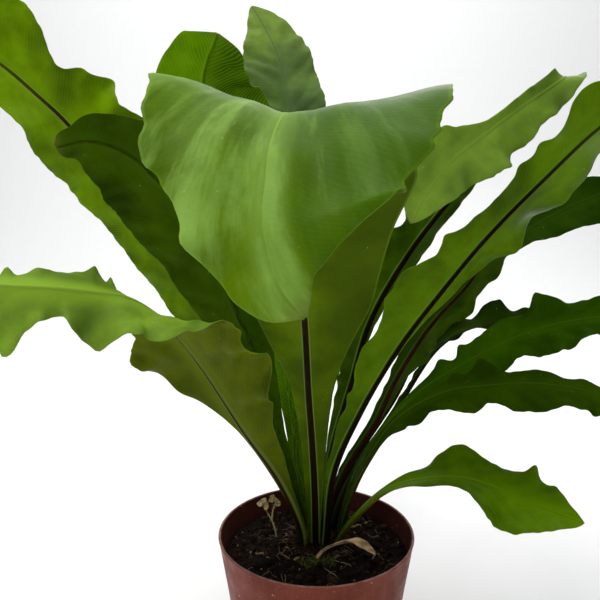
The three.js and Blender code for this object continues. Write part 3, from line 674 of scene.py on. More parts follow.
    rough = s.fit(s.noise(where, 70, 3), 0.3, 0.7, *BLADE_ROUGHNESS)
    s.set(Roughness=s.math("ADD", rough, s.times(rib_mask, 0.1)))
    s.set(Specular_IOR_Level=0.03 if upper[1] > 80 else 0.002)
    relief = s.math("ADD", s.times(vein, 0.05 if fan else 0.16), s.times(s.noise(where, 900, 2), 0.3))
    s.bump(relief, 0.00018, 0.8)
    return s.material


def dry_material(name, colour, grain):
    """Dried leaf tissue: papery, streaked along its length and browned in places."""
    s = Shade(name)
    streak = s.fit(s.noise(s.place(grain), 500, 4, 0.6), 0.3, 0.7)
    brown = s.fit(s.noise(s.place(), 160, 4), 0.42, 0.66)
    pale = s.mix(streak, toned(colour, -0.22), toned(colour, 0.14))
    s.set(Base_Color=s.mix(s.times(brown, 0.55), pale, toned(colour, -0.5, 8)))
    s.set(Roughness=s.fit(streak, 0, 1, 0.62, 0.85))
    s.bump(streak, 0.0002, 0.8)
    return s.material


def earth_material(name):
    """Earthy matter whose islands each have a tint of their own, kept in the field named tint."""
    dark, light, rough, grain, specks = EARTH[name]
    s = Shade(name)
    tint, pale, _ = s.field("tint")
    where = s.place()
    fleck = s.fit(s.noise(where, grain, 4, 0.65), 0.3, 0.72)
    colour = s.mix(tint, linear(dark), linear(light))
    colour = s.layers(colour, (s.times(fleck, 0.5), toned(dark, -0.35)), (pale, linear(PALE_GRAIN)))
    if specks:
        colour = s.mix(s.dots(where, grain * 1.7, 0.16, specks), colour, toned(light, 0.7))
    s.set(Base_Color=colour, Roughness=s.fit(fleck, 0, 1, rough - 0.12, rough), Specular_IOR_Level=0.06)
    s.bump(fleck, 0.0004, 0.9)
    return s.material


def pot_material():
    """Moulded plastic: reddish brown and a little dusty, with a painted highlight along the top of the rim,
    painted shade inside and a darker band just above the soil.
    """
    s = Shade("pot_plastic")
    where = s.place()
    x, y, z = s.split(where)
    out = s.math("SQRT", s.math("ADD", s.times(x, x), s.times(y, y)))
    wall = s.math("ADD", s.times(z, POT_TAPER), (POT_BASE_RADIUS - POT_WALL / 2) * MM)
    # Painted shade: the inside of the pot is darker
    inside = s.fit(s.math("SUBTRACT", out, wall), -0.0003, 0.0002, 1.0, 0.0)
    cloud = s.fit(s.noise(where, 34, 4), 0.3, 0.7)
    streaks = s.fit(s.noise(s.place((1, 1, 0.12)), 190, 4, 0.6), 0.5, 0.75)
    dust = s.fit(s.noise(where, 1300, 3, 0.7), 0.62, 0.72)
    patches = s.fit(s.noise(where, 70, 3), 0.3, 0.55)
    # Painted highlight along the top of the rim, broken up by noise
    lip = s.fit(z, (POT_HEIGHT - 0.7) * MM, (POT_HEIGHT - 0.1) * MM)
    highlight_breakup = s.fit(s.noise(where, 240, 3), 0.35, 0.7, 0.25, 0.8)
    # Darker just above the soil, on the inside of the pot
    near_soil = s.fit(z, (SOIL_LEVEL - 4) * MM, (SOIL_LEVEL + 4.5) * MM, 0.75, 0.0)
    colour = s.layers(
        s.mix(cloud, linear(PLASTIC_DARK), linear(PLASTIC_LIGHT)),
        (s.times(streaks, 0.25), linear(PLASTIC_STREAK)),
        (s.times(inside, 0.85), linear(PAINTED_SHADE_INSIDE)),
        (s.times(dust, patches, 0.55), linear(POT_DUST)),
        (s.times(s.dots(where, 150, 0.11, 0.9), patches), linear(POT_SPOT)),
        (s.times(lip, highlight_breakup), linear(PAINTED_RIM_HIGHLIGHT)),
        (s.times(near_soil, inside), linear(POT_NEAR_SOIL_DARK)),
    )
    s.set(Base_Color=colour, Roughness=s.fit(s.noise(where, 120, 4), 0.3, 0.7, 0.36, 0.56))
    s.set(Specular_IOR_Level=0.12)
    s.bump(s.noise(where, 700, 3), 0.00012, 0.5)
    return s.material


def stage_material():
    """A pale seamless sheet with a very faint tooth."""
    s = Shade("stage_sheet")
    where = s.place()
    s.set(Base_Color=s.mix(s.noise(where, 40, 3), linear(STAGE_GREY), linear(STAGE_PALE)))
    s.set(Roughness=s.fit(s.noise(where, 90, 2), 0.3, 0.7, 0.8, 0.9))
    return s.material


def add_object(name, verts, faces):
    """A mesh object in the scene from places in metres."""
    mesh = bpy.data.meshes.new(name)
    mesh.from_pydata(verts, [], faces)
    made = bpy.data.objects.new(name, mesh)
    bpy.context.scene.collection.objects.link(made)
    return made


def add_piece(name, verts, faces, material, nodes=(), fields=None):
    """A smooth mesh piece from places in millimetres, which rides on the plant and stands for nodes."""
    piece = add_object(name, (np.asarray(verts, float) * MM).tolist(), faces)
    for field, values in (fields or {}).items():
        layer = piece.data.attributes.new(field, "FLOAT_VECTOR", "POINT")
        layer.data.foreach_set("vector", np.asarray(values, np.float32).ravel())
    piece.data.shade_smooth()
    piece.data.materials.append(material)
    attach(piece, "root")
    if nodes:
        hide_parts(*nodes)
    return piece


def even_tint(verts, tint):
    return {"tint": np.tile((tint, 0.0, 0.0), (len(verts), 1))}


class Heap:
    """Many small closed forms gathered into one piece, each with a tint of its own."""

    def __init__(self):
        self.verts = []
        self.faces = []
        self.tints = []
        self.count = 0

    def add(self, verts, faces, tint=0.5, pale=0.0):
        self.verts.append(np.asarray(verts, float))
        self.faces += [[corner + self.count for corner in face] for face in faces]
        self.tints.append(np.tile((tint, pale, 0.0), (len(verts), 1)))
        self.count += len(verts)

    def piece(self, name, material_name, slot, nodes=()):
        fields = {"tint": np.vstack(self.tints)}
        material = earth_material(material_name)
        return add_piece(name, np.vstack(self.verts), self.faces, material, nodes, fields)


def unit(vectors):
    return vectors / np.maximum(np.linalg.norm(vectors, axis=-1, keepdims=True), 1e-9)


def round_place(radius, turn):
    """A place on a circle round the upright axis."""
    return radius * math.cos(turn), radius * math.sin(turn)


def rotation(axis, turn):
    """The matrix of a turn about one of the axes 0, 1 and 2."""
    first, second = (axis + 1) % 3, (axis + 2) % 3
    matrix = np.eye(3)
    matrix[first, first] = matrix[second, second] = math.cos(turn)
    matrix[first, second] = -math.sin(turn)
    matrix[second, first] = math.sin(turn)
    return matrix


def catmull(points, t):
    """Places at shares t along the centripetal Catmull-Rom curve through points."""
    points = np.asarray(points, float)
    spans = len(points) - 1
    at = np.clip(t, 0, 1) * spans
    i = np.minimum(at.astype(int), spans - 1)
    w = (at - i)[:, None]
    ends = np.vstack([2 * points[0] - points[1], points, 2 * points[-1] - points[-2]])
    p0, p1, p2, p3 = (ends[i + k] for k in range(4))

    def root_gap(a, b, instead):
        gap = np.sqrt(np.linalg.norm(b - a, axis=1, keepdims=True))
        return np.where(gap < 1e-4, instead, gap)

    d1 = root_gap(p1, p2, 1.0)
    d0 = root_gap(p0, p1, d1)
    d2 = root_gap(p2, p3, d1)
    lead = ((p1 - p0) / d0 - (p2 - p0) / (d0 + d1) + (p2 - p1) / d1) * d1
    trail = ((p2 - p1) / d1 - (p3 - p1) / (d1 + d2) + (p3 - p2) / d2) * d1
    bend = -3 * p1 + 3 * p2 - 2 * lead - trail
    return p1 + lead * w + bend * w**2 + (2 * p1 - 2 * p2 + lead + trail) * w**3


# Columns from the left edge to the right one: side, share of the rib's half width, reach to the edge
REACHES = (1, 0.975, 0.92, 0.85, 0.76, 0.66, 0.56, 0.46, 0.36, 0.26, 0.16, 0.07)
RIB_SHARES = (1, 0.8, 0.45)
HALF_COLUMNS = [(1, reach) for reach in REACHES] + [(inner, 0) for inner in RIB_SHARES]
COLUMNS = (
    [(-1, inner, reach) for inner, reach in HALF_COLUMNS]
    + [(1, 0, 0)]
    + [(1, inner, reach) for inner, reach in reversed(HALF_COLUMNS)]
)


def spine(rows, facing, step):
    """Down a midrib: share and distance, places, sizes, and the directions across and up."""
    line = rows[:, :3]
    table = np.linspace(0, 1, CURVE_SAMPLES + 1)
    steps = np.linalg.norm(np.diff(catmull(line, table), axis=0), axis=1)
    lengths = np.concatenate([[0], np.cumsum(steps)])
    u = np.linspace(0, 1, int(lengths[-1] / step) + 1)
    distance = u * lengths[-1]
    t = np.interp(distance, lengths, table)
    ahead = catmull(line, np.minimum(t + CURVE_NUDGE, 1))
    along = unit(ahead - catmull(line, np.maximum(t - CURVE_NUDGE, 0)))
    size = catmull(rows[:, 3:], t)
    turn = math.radians(facing)
    level = np.array([-math.sin(turn), math.cos(turn), 0.0])
    across = unit(level - along * (along @ level)[:, None])
    roll = np.radians(size[:, 2])[:, None]
    across = across * np.cos(roll) + np.cross(along, across) * np.sin(roll)
    return u[:, None], distance[:, None], catmull(line, t), size, across, np.cross(along, across)


def wave_of(value, length, phase):
    return np.sin(TURN * value / length + phase)


def fan_lift(fan, distance, off, side, reach):
    """Height of the folds that fan out from one place on the rib."""
    start, folds, height = fan
    ahead = distance - start * distance[-1]
    ray = np.arctan2(off, ahead)
    far = np.clip(np.hypot(off, ahead) / FAN_FULL, 0, 1)
    far = far * np.clip((ahead - FAN_FREE) / FAN_ONSET, 0, 1) ** 1.2
    fan_turn = TURN * folds * ray + 0.8 * np.sin(3.1 * ray + 2 * side) + side
    return height * far * np.sin(fan_turn) * np.clip(off / FAN_RIB, 0, 1) * (1.1 - 0.4 * reach)


def skin_faces(count, width):
    """Faces of a closed skin over a grid whose points come in pairs, an upper and a lower one."""
    ids = np.arange(count * width).reshape(count, width) * 2
    a, b, c, d = ids[:-1, :-1], ids[1:, :-1], ids[1:, 1:], ids[:-1, 1:]
    quads = [np.stack([a, b, c, d], -1).reshape(-1, 4), np.stack([a, d, c, b], -1).reshape(-1, 4) + 1]
    one_way, other_way = [0, 2, 3, 1], [0, 1, 3, 2]
    edges = ((ids[:, 0], one_way), (ids[:, -1], other_way), (ids[0], other_way), (ids[-1], one_way))
    for line, order in edges:
        strip = np.stack([line[:-1], line[1:], line[:-1] + 1, line[1:] + 1], -1)
        quads.append(strip[:, order])
    return np.vstack(quads).tolist()


def skin_field(shape, *parts):
    """Three numbers at each point of the upper and the lower face."""
    field = np.empty((*shape, 2, 3))
    for k, part in enumerate(parts):
        field[..., k] = part
    return field.reshape(-1, 3)


def frond_piece(name, frond, material, slot, pleat, ruffle, slim=1.0, step=ROW_STEP):
    """A frond as one closed skin with a round rib below, pleats, a small ruffle and thin edges."""
    facing, (fold_base, fold_tip), (wave_length, wave_height, wave_start), rows = frond
    pleat_length, pleat_height, pleat_lean = pleat
    ruffle_length, ruffle_height, ruffle_start = ruffle
    rows = np.asarray(rows, float)
    draw = draws(name)
    fan = FANS.get(name)
    u, distance, centre, size, across, up = spine(rows, facing, step)
    side, inner, reach = (np.array(part, float)[None, :] for part in zip(*COLUMNS))
    half = np.where(side < 0, size[:, :1], size[:, 1:2])
    share = np.minimum(np.maximum(half, 0) / rows[:, 3:5].max(), 1) ** WAVE_FADE

    # The large waves, small nicks and the ruffle's crests
    wave_turn = TURN * (distance / wave_length + wave_start + WAVE_SHIFT * (side > 0))
    wave = (1 - WAVE_SECOND) * np.sin(wave_turn) + WAVE_SECOND * np.sin(WAVE_RATE * wave_turn + 1.1 * side)
    nick = sum(np.sin(TURN * (distance / pace + draw.random() + 0.5 * side)) / k for k, pace in NICKS)
    ruffle_turn = TURN * (distance / ruffle_length + draw.random() + 0.41 * side)
    ruffle_turn = ruffle_turn + 1.5 * wave_of(distance, RUFFLE_DRIFT, side)
    crest = np.sin(ruffle_turn) * (1 + 0.4 * np.sin(ruffle_turn))
    crest = crest * (0.65 + 0.35 * wave_of(distance, RUFFLE_BEAT, 2 * side))
    ruffled = np.clip(half / (RUFFLE_HALF * slim), 0, 1) ** 1.5
    ruffled = ruffled * np.clip((u - ruffle_start) / RUFFLE_ONSET, 0, 1)

    # Half widths of the blade and the rib, rounded off at the tip
    jag = NICK_SHARE * ruffle_height * ruffled * nick + CREST_SHARE * ruffle_height * ruffled * crest
    half = half * (1 + SCALLOP * share * wave) * (1 + jag)
    rib_half = slim * (RIB_BASE + (RIB_TIP - RIB_BASE) * u)
    half = np.maximum(half, rib_half + slim * WING)
    left_over = np.clip((distance[-1] - distance) / (TIP_ROUND * slim), 0, 1)
    rounding = np.sqrt(np.maximum(1 - (1 - left_over) ** 2, 0.02))
    half = half * rounding
    rib_half = rib_half * rounding
    off = np.where(reach > 0, rib_half + (half - rib_half) * reach, rib_half * inner)

    # How far each point is lifted by the fold, the waves, the ruffle, pleats, veins and a slow sway
    pleat_turn = TURN * ((distance - pleat_lean * off) / pleat_length + draw.random())
    pleat_turn = pleat_turn + 0.9 * wave_of(distance, PLEAT_DRIFT, 3 * side)
    pleats = pleat_height * share * np.sin(pleat_turn) * reach**0.7 * (1.15 - 0.55 * reach)
    if fan:
        pleats = pleats + fan_lift(fan, distance, off, side, reach)
    vein_height = (FAN_VEIN_HEIGHT if fan else VEIN_HEIGHT) * slim
    veins = vein_height * share * wave_of(distance - VEIN_LEAN * off, VEIN_PACE, 0) * (reach > 0)
    sway_turn = distance / SWAY_ALONG + off / SWAY_ACROSS + 5 * draw.random() + side
    sway = SWAY_HEIGHT * slim * share * reach * np.sin(sway_turn)
    fold = np.radians(fold_base + (fold_tip - fold_base) * u)
    lift = off * np.sin(fold) + wave_height * share * reach**WAVE_GROWTH * wave
    lift = lift + ruffle_height * ruffled * reach**2.6 * crest + pleats + veins + sway

    # Two faces, which close in on each other at the edge and part at the rib
    aside = (side * off * np.cos(fold))[:, :, None] * across[:, None, :]
    grid = centre[:, None, :] + aside + up[:, None, :] * lift[:, :, None]
    normal = unit(np.cross(np.gradient(grid, axis=0), np.gradient(grid, axis=1)))
    taper = np.clip((reach - 0.85) / 0.15, 0, 1) ** 1.5
    thick = slim**0.5 * (BLADE / 2 * (1 - taper) + EDGE_HALF * taper)
    in_rib = (reach == 0) & (inner < 1)
    ridge = np.where(in_rib, RIB_RISE * rib_half * (1 - inner**2), 0)
    keel = np.where(in_rib, RIB_DEPTH * rib_half * np.sqrt(1 - inner**2), 0)
    upper = grid + normal * (thick + ridge)[:, :, None]
    lower = grid - normal * (thick + keel)[:, :, None]
    verts = np.stack([upper, lower], axis=2).reshape(-1, 3)

    shape = grid.shape[:2]
    rib_share = off / np.maximum(rib_half, 1e-3)
    faces_up = np.array([1.0, 0.0])
    fields = {
        "blade": skin_field(shape, (side * off)[:, :, None], distance[:, :, None], faces_up),
        "form": skin_field(shape, rib_share[:, :, None], reach[:, :, None], u[:, :, None]),
    }
    return add_piece(name + "_leaf", verts, skin_faces(*shape), material, [name], fields)


def bands(rings, sides):
    """Four-sided faces between neighbouring rings of points."""
    faces = []
    for i in range(rings - 1):
        for j in range(sides):
            a, b = i * sides + j, i * sides + (j + 1) % sides
            faces.append([a, b, b + sides, a + sides])
    return faces


def tube(points, radii, sides=6):
    """Rings of points round a line of places, closed at both ends."""
    points = np.asarray(points, float)
    radii = np.broadcast_to(np.asarray(radii, float), len(points))
    ahead = unit(np.gradient(points, axis=0))
    aside = unit(np.cross(ahead, (0.31, 0.23, 0.92)))
    other = np.cross(ahead, aside)
    turns = np.linspace(0, TURN, sides, endpoint=False)
    ring = aside[:, None] * np.cos(turns)[:, None] + other[:, None] * np.sin(turns)[:, None]
    verts = (points[:, None] + ring * radii[:, None, None]).reshape(-1, 3)
    last = (len(points) - 1) * sides
    ends = [list(range(sides))[::-1], [last + j for j in range(sides)]]
    return verts, bands(len(points), sides) + ends


def lathe(profile, sides):
    """A closed profile of radius and height turned round the upright axis; it starts and ends on it."""
    turns = np.linspace(0, TURN, sides, endpoint=False)
    rings = profile[1:-1]
    verts = [(0, 0, profile[0][1])]
    for radius, height in rings:
        verts += [(*round_place(radius, turn), height) for turn in turns]
    verts.append((0, 0, profile[-1][1]))
    faces = []
    for j in range(sides):
        k = (j + 1) % sides
        faces.append([0, 1 + k, 1 + j])
        for i in range(len(rings) - 1):
            base = 1 + i * sides
            faces.append([base + j, base + k, base + sides + k, base + sides + j])
        base = 1 + (len(rings) - 1) * sides
        faces.append([base + j, base + k, len(verts) - 1])
    return np.array(verts, float), faces


def pot_inside(z):
    return POT_BASE_RADIUS + POT_TAPER * z - POT_WALL


def soil_height(x, y):
    """Height of the soil's top: its mound and lumps as in the solids, and a fine unevenness."""
    out = min(math.hypot(x, y) / pot_inside(SOIL_LEVEL), 1)
    lumps = math.sin(0.31 * x + 1.3) * math.cos(0.27 * y) + 0.5 * math.sin(0.53 * x - 0.61 * y)
    height = SOIL_LEVEL + SOIL_MOUND * (1 - out**2) + SOIL_BUMP * lumps * (1 - out**6)
    coarse = noise.noise(Vector((x * SOIL_COARSE_PACE, y * SOIL_COARSE_PACE, 3)))
    return height + (SOIL_COARSE * coarse + SOIL_FINE * noise.noise(Vector((x, y, 9))))


def settle(line, rise, drape=False):
    """Lay a line of places on the soil; one that drapes is only lifted where it would sink in."""
    for point in line:
        ground = soil_height(point[0], point[1]) + rise
        point[2] = max(point[2], ground) if drape else ground


def pot_profile():
    """The pot's outline: foot edge, ringed wall, rim bead and inside."""
    outer = [(POT_BASE_RADIUS + out, up) for out, up in FOOT_EDGE]
    for z in np.linspace(WALL_START, WALL_END, WALL_STEPS):
        ring = RING_HEIGHT * math.sin(z * RING_PACE) if z < RINGS_TOP else 0.0
        groove = GROOVE_DEPTH * math.exp(-((z - GROOVE_PLACE) / GROOVE_HALF) ** 2)
        outer.append((POT_BASE_RADIUS + POT_TAPER * z + ring - groove, float(z)))
    rim = []
    for turn in (math.pi * k / 8 for k in range(9)):
        out = POT_RIM_RADIUS - POT_WALL / 2 + (POT_WALL / 2 + BEAD_PROUD) * math.cos(turn)
        rim.append((out, POT_HEIGHT - BEAD_HEIGHT + BEAD_HEIGHT * math.sin(turn)))
    inner = [(pot_inside(z), float(z)) for z in np.linspace(WALL_END, POT_FLOOR + 0.6, INSIDE_STEPS)]
    floor = [(pot_inside(POT_FLOOR) - 0.5, POT_FLOOR), (FLOOR_RADIUS, POT_FLOOR), (0, POT_FLOOR)]
    return [(0, 0), (FLOOR_RADIUS, 0), *outer, *rim, *inner, *floor]


def drill(piece, cutters):
    """Cut the closed forms of a heap out of a piece."""
    cutter = add_object("drain_cutters", (np.vstack(cutters.verts) * MM).tolist(), cutters.faces)
    cut = piece.modifiers.new("drains", "BOOLEAN")
    cut.operation = "DIFFERENCE"
    cut.solver = "EXACT"
    cut.object = cutter
    shaped = bpy.data.meshes.new_from_object(piece.evaluated_get(bpy.context.evaluated_depsgraph_get()))
    piece.modifiers.remove(cut)
    old = piece.data
    piece.data = shaped
    bpy.data.meshes.remove(old)
    bpy.data.objects.remove(cutter)


def pot_piece():
    """The pot with a rounded rim, a foot edge, faint moulding rings and drain holes in its floor."""
    verts, faces = lathe(pot_profile(), POT_SIDES)
    pot = add_piece("pot_shell", verts, faces, pot_material(), ["pot"])
    cutters = Heap()
    for i in range(DRAIN_HOLES):
        turn = TURN * i / DRAIN_HOLES
        x, y = round_place(DRAIN_RING, turn)
        cutters.add(*tube([(x, y, -1), (x, y, POT_FLOOR + 1)], DRAIN_RADIUS, 32))
    drill(pot, cutters)


def soil_piece():
    """The soil as one body with a fine, uneven top."""
    edge = pot_inside(SOIL_LEVEL) - SOIL_GAP
    bottom = POT_FLOOR + SOIL_GAP
    profile = [(0, bottom), (pot_inside(bottom) - SOIL_GAP, bottom)]
    profile += [(edge * i / SOIL_RINGS, SOIL_LEVEL) for i in range(SOIL_RINGS, 0, -1)]
    profile.append((0, SOIL_LEVEL))
    verts, faces = lathe(profile, SOIL_SIDES)
    for point in verts:
        if point[2] > SOIL_LEVEL - 1:
            point[2] = soil_height(point[0], point[1])
    tint = even_tint(verts, 0.35)
    add_piece("soil_bed", verts, faces, earth_material("soil_bed"), ["soil"], tint)


def ball(detail):
    """A unit ball of triangles as places and faces."""
    mesh = bpy.data.meshes.new("ball")
    shape = bmesh.new()
    bmesh.ops.create_icosphere(shape, subdivisions=detail, radius=1)
    shape.to_mesh(mesh)
    shape.free()
    verts = np.array([list(v.co) for v in mesh.vertices])
    faces = [list(p.vertices) for p in mesh.polygons]
    bpy.data.meshes.remove(mesh)
    return verts, faces


def free_place(draw, inner_room):
    """A place on the soil, clear of the wall and of the crown."""
    while True:
        radius = SOIL_ROOM * math.sqrt(draw.random())
        turn = TURN * draw.random()
        x, y = round_place(radius, turn)
        if math.hypot(x - CROWN_PLACE[0], y - CROWN_PLACE[1]) > inner_room:
            return x, y


def crumbs_piece():
    """Crumbs of peat and bark, with a few pale grains, that lie half sunk in the soil."""
    draw = draws("soil_crumbs")
    heap = Heap()
    coarse, fine = (ball(2), COARSE_SIZE), (ball(1), FINE_SIZE)
    for i in range(CRUMBS):
        (verts, faces), sizes = coarse if i < COARSE_CRUMBS else fine
        size = draw.uniform(*sizes)
        x, y = free_place(draw, CROWN_RADIUS - 2)
        lumps = np.sin(verts @ draw.normal(0, 2.6, (3, 3)) + draw.uniform(0, 6, 3)).mean(axis=1)
        squash = draw.uniform(*CRUMB_SQUASH, 3)
        shape = verts * (1 + CRUMB_LUMPS * lumps)[:, None] * (size * squash)
        spin = rotation(2, draw.uniform(0, TURN))
        pale = 0.8 if i % PALE_CRUMB == 0 and i >= COARSE_CRUMBS else 0.0
        place = (x, y, soil_height(x, y) + CRUMB_RISE * size)
        heap.add(shape @ spin.T + place, faces, draw.random() ** 1.6, pale)
    heap.piece("soil_crumbs", "soil_crumbs", "soil")


def thread(draw, start, heading, length, droop, wander, points=7):
    """A line of places that starts one way, wanders and bends down or up."""
    places = [np.array(start, float)]
    way = unit(np.array(heading, float))
    for _ in range(points - 1):
        way = unit(way + draw.normal(0, wander, 3) + np.array((0, 0, -droop)))
        places.append(places[-1] + way * length / (points - 1))
    return np.array(places)


def crown_height(out):
    """Height of the crown's top at a share of its radius."""
    return CROWN_TOP - CROWN_SINK - CROWN_DROP * min(out, 1) ** CROWN_ROUND


def on_crown(draw, inner):
    """A place on the crown, its share of the radius, from inner to 1, and the way out to it."""
    turn = draw.uniform(0, TURN)
    radius = CROWN_RADIUS * draw.uniform(inner, 1.0)
    way = round_place(1, turn)
    x, y = (middle + radius * part for middle, part in zip(CROWN_PLACE, way))
    return x, y, radius / CROWN_RADIUS, way


def fibres_piece():
    """Dark scales and pale hair roots round the crown, and thin dry roots on the soil."""
    draw = draws("crown_fibres")
    heap = Heap()
    for _ in range(SCALES):
        x, y, share, way = on_crown(draw, 0.55)
        start = (x, y, crown_height(share) - 0.6)
        heading = (way[0] * 0.8, way[1] * 0.8, draw.uniform(0.5, 1.6))
        length = draw.uniform(*SCALE_LENGTH)
        line = thread(draw, start, heading, length, droop=0.12, wander=0.22, points=len(SCALE_RADII))
        heap.add(*tube(line, SCALE_RADII, 4), tint=draw.random() ** 2)
    for _ in range(HAIR_ROOTS):
        x, y, share, way = on_crown(draw, 0.85)
        length = draw.uniform(*HAIR_LENGTH)
        line = thread(draw, (x, y, HAIR_START), (*way, 0.1), length, droop=0.2, wander=0.35)
        settle(line[1:], 0.1, drape=True)
        tint, pale = draw.uniform(0.4, 1), draw.uniform(0.1, 0.7)
        heap.add(*tube(line, np.linspace(0.2, 0.07, len(line)), 4), tint, pale)
    for _ in range(DRY_ROOTS):
        x, y = free_place(draw, CROWN_RADIUS)
        turn = draw.uniform(0, TURN)
        heading = (*round_place(1, turn), 0)
        length = draw.uniform(*DRY_ROOT_LENGTH)
        line = thread(draw, (x, y, 0), heading, length, droop=0, wander=0.28, points=9)
        if np.linalg.norm(line[:, :2], axis=1).max() < SOIL_ROOM - 1:
            settle(line, DRY_ROOT_RISE)
            line[[0, -1], 2] -= DRY_ROOT_DIP
            tint, pale = draw.uniform(0.3, 1), draw.uniform(0, 0.5)
            heap.add(*tube(line, np.linspace(0.3, 0.12, len(line)), 5), tint, pale)
    heap.piece("crown_fibres", "root_fibres", "crown")


def crown_piece():
    """The short stem: a low knobbly dome with a ragged foot in the soil."""
    foot = CROWN_RADIUS * 0.9
    profile = [(0, CROWN_BOTTOM), (foot, CROWN_BOTTOM), (CROWN_RADIUS * 0.96, CROWN_DOME)]
    for i in range(CROWN_RINGS, 0, -1):
        profile.append((CROWN_RADIUS * i / CROWN_RINGS, crown_height(i / CROWN_RINGS)))
    profile.append((0, crown_height(0)))
    verts, faces = lathe(profile, CROWN_SIDES)
    for point in verts:
        if point[2] > CROWN_DOME + 0.5:
            knobs = noise.noise(Vector((point[0] * 0.45, point[1] * 0.45, 1)))
            grain = noise.noise(Vector((point[0] * 1.6, point[1] * 1.6, point[2])))
            point[2] += CROWN_KNOBS * knobs + CROWN_GRAIN * grain
    verts[:, :2] += CROWN_PLACE
    tint = even_tint(verts, 0.3)
    add_piece("crown_stem", verts, faces, earth_material("crown_bark"), ["crown"], tint)


def moss_piece():
    """A small cushion of moss in front of the crown, made of short leafy shoots."""
    draw = draws("moss_cushion")
    heap = Heap()
    for _ in range(MOSS_SHOOTS):
        spread = draw.normal(0, 1, 2) * MOSS_SPREAD
        if np.hypot(*(spread / MOSS_HALF)) > 1:
            continue
        x, y = MOSS_PLACE + spread
        z = soil_height(x, y) - 0.3
        lean = (draw.normal(0, 0.45), draw.normal(0, 0.45) - 0.15, 1)
        length = draw.uniform(*MOSS_LENGTH)
        line = thread(draw, (x, y, z), lean, length, droop=0.1, wander=0.2, points=len(MOSS_RADII))
        heap.add(*tube(line, MOSS_RADII, 4), tint=draw.random())
    heap.piece("moss_cushion", "moss", "weed")


def twig_piece():
    """Dry broken twigs on the soil, short stubs at the crown and fine strands that droop."""
    draw = draws("dry_twigs")
    heap = Heap()
    for start, heading, length, radius in TWIGS:
        line = thread(draw, start, heading, length, droop=0, wander=0.1, points=9)
        settle(line, 0.8 * radius)
        rough = radius * (1 + 0.18 * draw.normal(0, 1, len(line)))
        heap.add(*tube(line, rough, 8), tint=draw.uniform(0.5, 1), pale=0.25)
    for start, heading, length, radius in STUBS:
        line = thread(draw, start, heading, length, droop=0.14, wander=0.24, points=12)
        radii = radius * np.linspace(1, 0.3, len(line))
        heap.add(*tube(line, radii, 7), tint=draw.uniform(0.5, 1), pale=0.35)
    for start, heading, length in STRANDS:
        line = thread(draw, start, heading, length, droop=0.03, wander=0.24, points=18)
        settle(line, STRAND_RISE, drape=True)
        heap.add(*tube(line, STRAND_RADIUS, 5), tint=1.0, pale=0.9)
    heap.piece("dry_twigs", "dry_twig", "crown")


def leaflet(draw, tip, number):
    """A round cupped leaflet with a shallow notch, as a thin closed shell."""
    rings, sides = LEAFLET_RINGS, LEAFLET_SIDES
    places = []
    for i in range(rings + 1):
        radius = LEAFLET_RADIUS * i / rings
        for j in range(sides):
            turn = TURN * j / sides
            notch = 1 - LEAFLET_NOTCH * math.exp(-((turn - math.pi) / 0.25) ** 2)
            cup = LEAFLET_CUP * (i / rings) ** 2 * (1 + math.sin(3 * turn + number))
            crumple = LEAFLET_CRUMPLE * draw.random() * (i / rings) ** 3
            x = LEAFLET_RADIUS * 0.75 - radius * notch * math.cos(turn)
            places.append((x, radius * notch * math.sin(turn), cup + crumple))
    heading = rotation(2, TURN * number / LEAFLETS + tip[0])
    spin = rotation(0, LEAFLET_LEAN) @ heading @ rotation(1, -LEAFLET_DROOP)
    middle = np.array(places) @ spin.T + tip
    away = spin[:, 2] * LEAFLET_HALF
    total = len(places)
    faces = []
    for a, b, c, d in bands(rings + 1, sides):
        faces.append([a, b, c, d])
        faces.append([a + total, d + total, c + total, b + total])
    edge = rings * sides
    for j in range(sides):
        k = (j + 1) % sides
        faces.append([edge + j, edge + k, edge + k + total, edge + j + total])
    return np.vstack([middle + away, middle - away]), faces


def weed_piece():
    """The dried seedling: thin stems with side hairs and cupped round leaflets."""
    draw = draws("weed_shoots")
    heap = Heap()
    for stem in WEED_STEMS:
        line = catmull(stem, np.linspace(0, 1, WEED_STEPS))
        heap.add(*tube(line, np.linspace(WEED_STEM_RADIUS, WEED_TIP_RADIUS, WEED_STEPS), 8), 0.45)
        for number in range(LEAFLETS):
            turn = TURN * number / LEAFLETS
            spread = np.array((*round_place(1, turn), draw.uniform(-0.9, 0.9))) * LEAFLET_SPREAD
            tip = np.array(stem[-1], float) + spread
            heap.add(*tube([stem[-1], tip - spread * 0.4, tip], STALK_RADII, 6), 0.4)
            heap.add(*leaflet(draw, tip, number), draw.random())
        for _ in range(WEED_HAIRS):
            at = line[draw.integers(8, WEED_STEPS - 1)]
            heading = draw.normal(0, 1, 3)
            length = draw.uniform(*WEED_HAIR_LENGTH)
            hair = thread(draw, at, heading, length, droop=0.1, wander=0.2, points=len(WEED_HAIR_RADII))
            heap.add(*tube(hair, WEED_HAIR_RADII, 4), tint=0.9)
    heap.piece("weed_shoots", "seedling", "weed", ["weed"])


def frond_pieces():
    """The living fronds and the dried one."""
    for name, frond in FRONDS.items():
        *colours, pleat, ruffle = LOOKS[name]
        material = blade_material(name, *colours, pleat)
        frond_piece(name, frond, material, "frond", pleat, ruffle)
    dry = dry_material("dry_frond_skin", DRY_LEAF, DRY_GRAIN)
    fineness = {"slim": DRY_SLIM, "step": DRY_STEP}
    frond_piece("dry_frond", DRY_FROND, dry, "dry_frond", DRY_PLEAT, DRY_RUFFLE, **fineness)


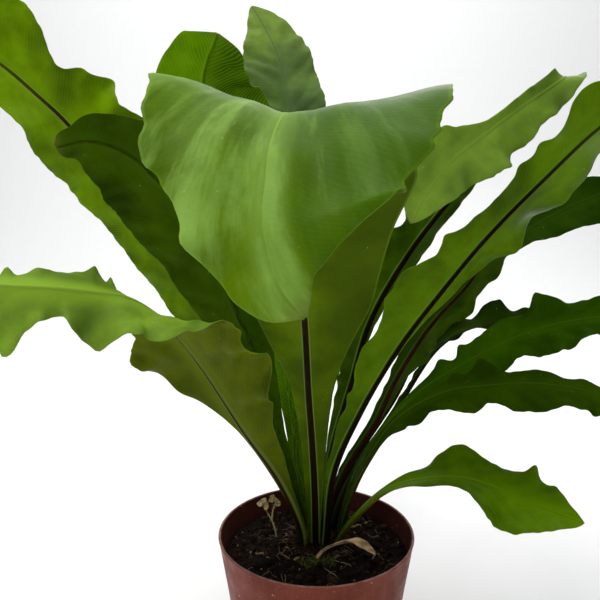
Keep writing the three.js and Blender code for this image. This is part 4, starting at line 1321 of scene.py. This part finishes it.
def stage_sheet():
    """A seamless pale sheet: the floor, a curve and a wall behind."""
    line = [(STAGE_FRONT, 0.0), (STAGE_BEND, 0.0)]
    for turn in np.linspace(0.1, math.pi / 2, 16):
        y = STAGE_BEND + STAGE_RADIUS * math.sin(turn)
        line.append((y, STAGE_RADIUS - STAGE_RADIUS * math.cos(turn)))
    line.append((STAGE_BEND + STAGE_RADIUS, STAGE_TOP))
    verts = [(x, y, z - STAGE_DROP) for y, z in line for x in (-STAGE_HALF, STAGE_HALF)]
    faces = [[2 * i - 2, 2 * i - 1, 2 * i + 1, 2 * i] for i in range(1, len(line))]
    sheet = add_object("stage_sheet", verts, faces)
    sheet.data.shade_smooth()
    sheet.data.materials.append(stage_material())


def set_camera():
    camera = bpy.data.cameras.new("camera")
    camera.lens = CAMERA_LENS
    camera.sensor_width = CAMERA_FRAME
    camera.clip_start = CAMERA_NEAR
    viewpoint = bpy.data.objects.new("camera", camera)
    viewpoint.location = Vector(CAMERA_PLACE) * MM
    viewpoint.rotation_euler = (math.radians(90 - CAMERA_PITCH), 0, 0)
    bpy.context.scene.collection.objects.link(viewpoint)
    bpy.context.scene.camera = viewpoint


def set_lights():
    """Soft round lights and a dim sky."""
    for name, (place, aim, size, power, colour) in LIGHTS.items():
        lamp = bpy.data.lights.new(name, "AREA")
        lamp.shape = "DISK"
        lamp.size = size
        lamp.energy = power
        lamp.color = colour
        item = bpy.data.objects.new(name, lamp)
        item.location = place
        item.rotation_euler = (Vector(aim) - Vector(place)).to_track_quat("-Z", "Y").to_euler()
        bpy.context.scene.collection.objects.link(item)
    world = bpy.data.worlds.new("sky")
    world.use_nodes = True
    sky = world.node_tree.nodes["Background"]
    sky.inputs["Color"].default_value = SKY_COLOUR
    sky.inputs["Strength"].default_value = SKY_STRENGTH
    bpy.context.scene.world = world
    bpy.context.scene.view_settings.view_transform = "Standard"


set_camera()
pot_piece()
soil_piece()
crumbs_piece()
crown_piece()
fibres_piece()
moss_piece()
twig_piece()
weed_piece()
frond_pieces()
stage_sheet()
set_lights()
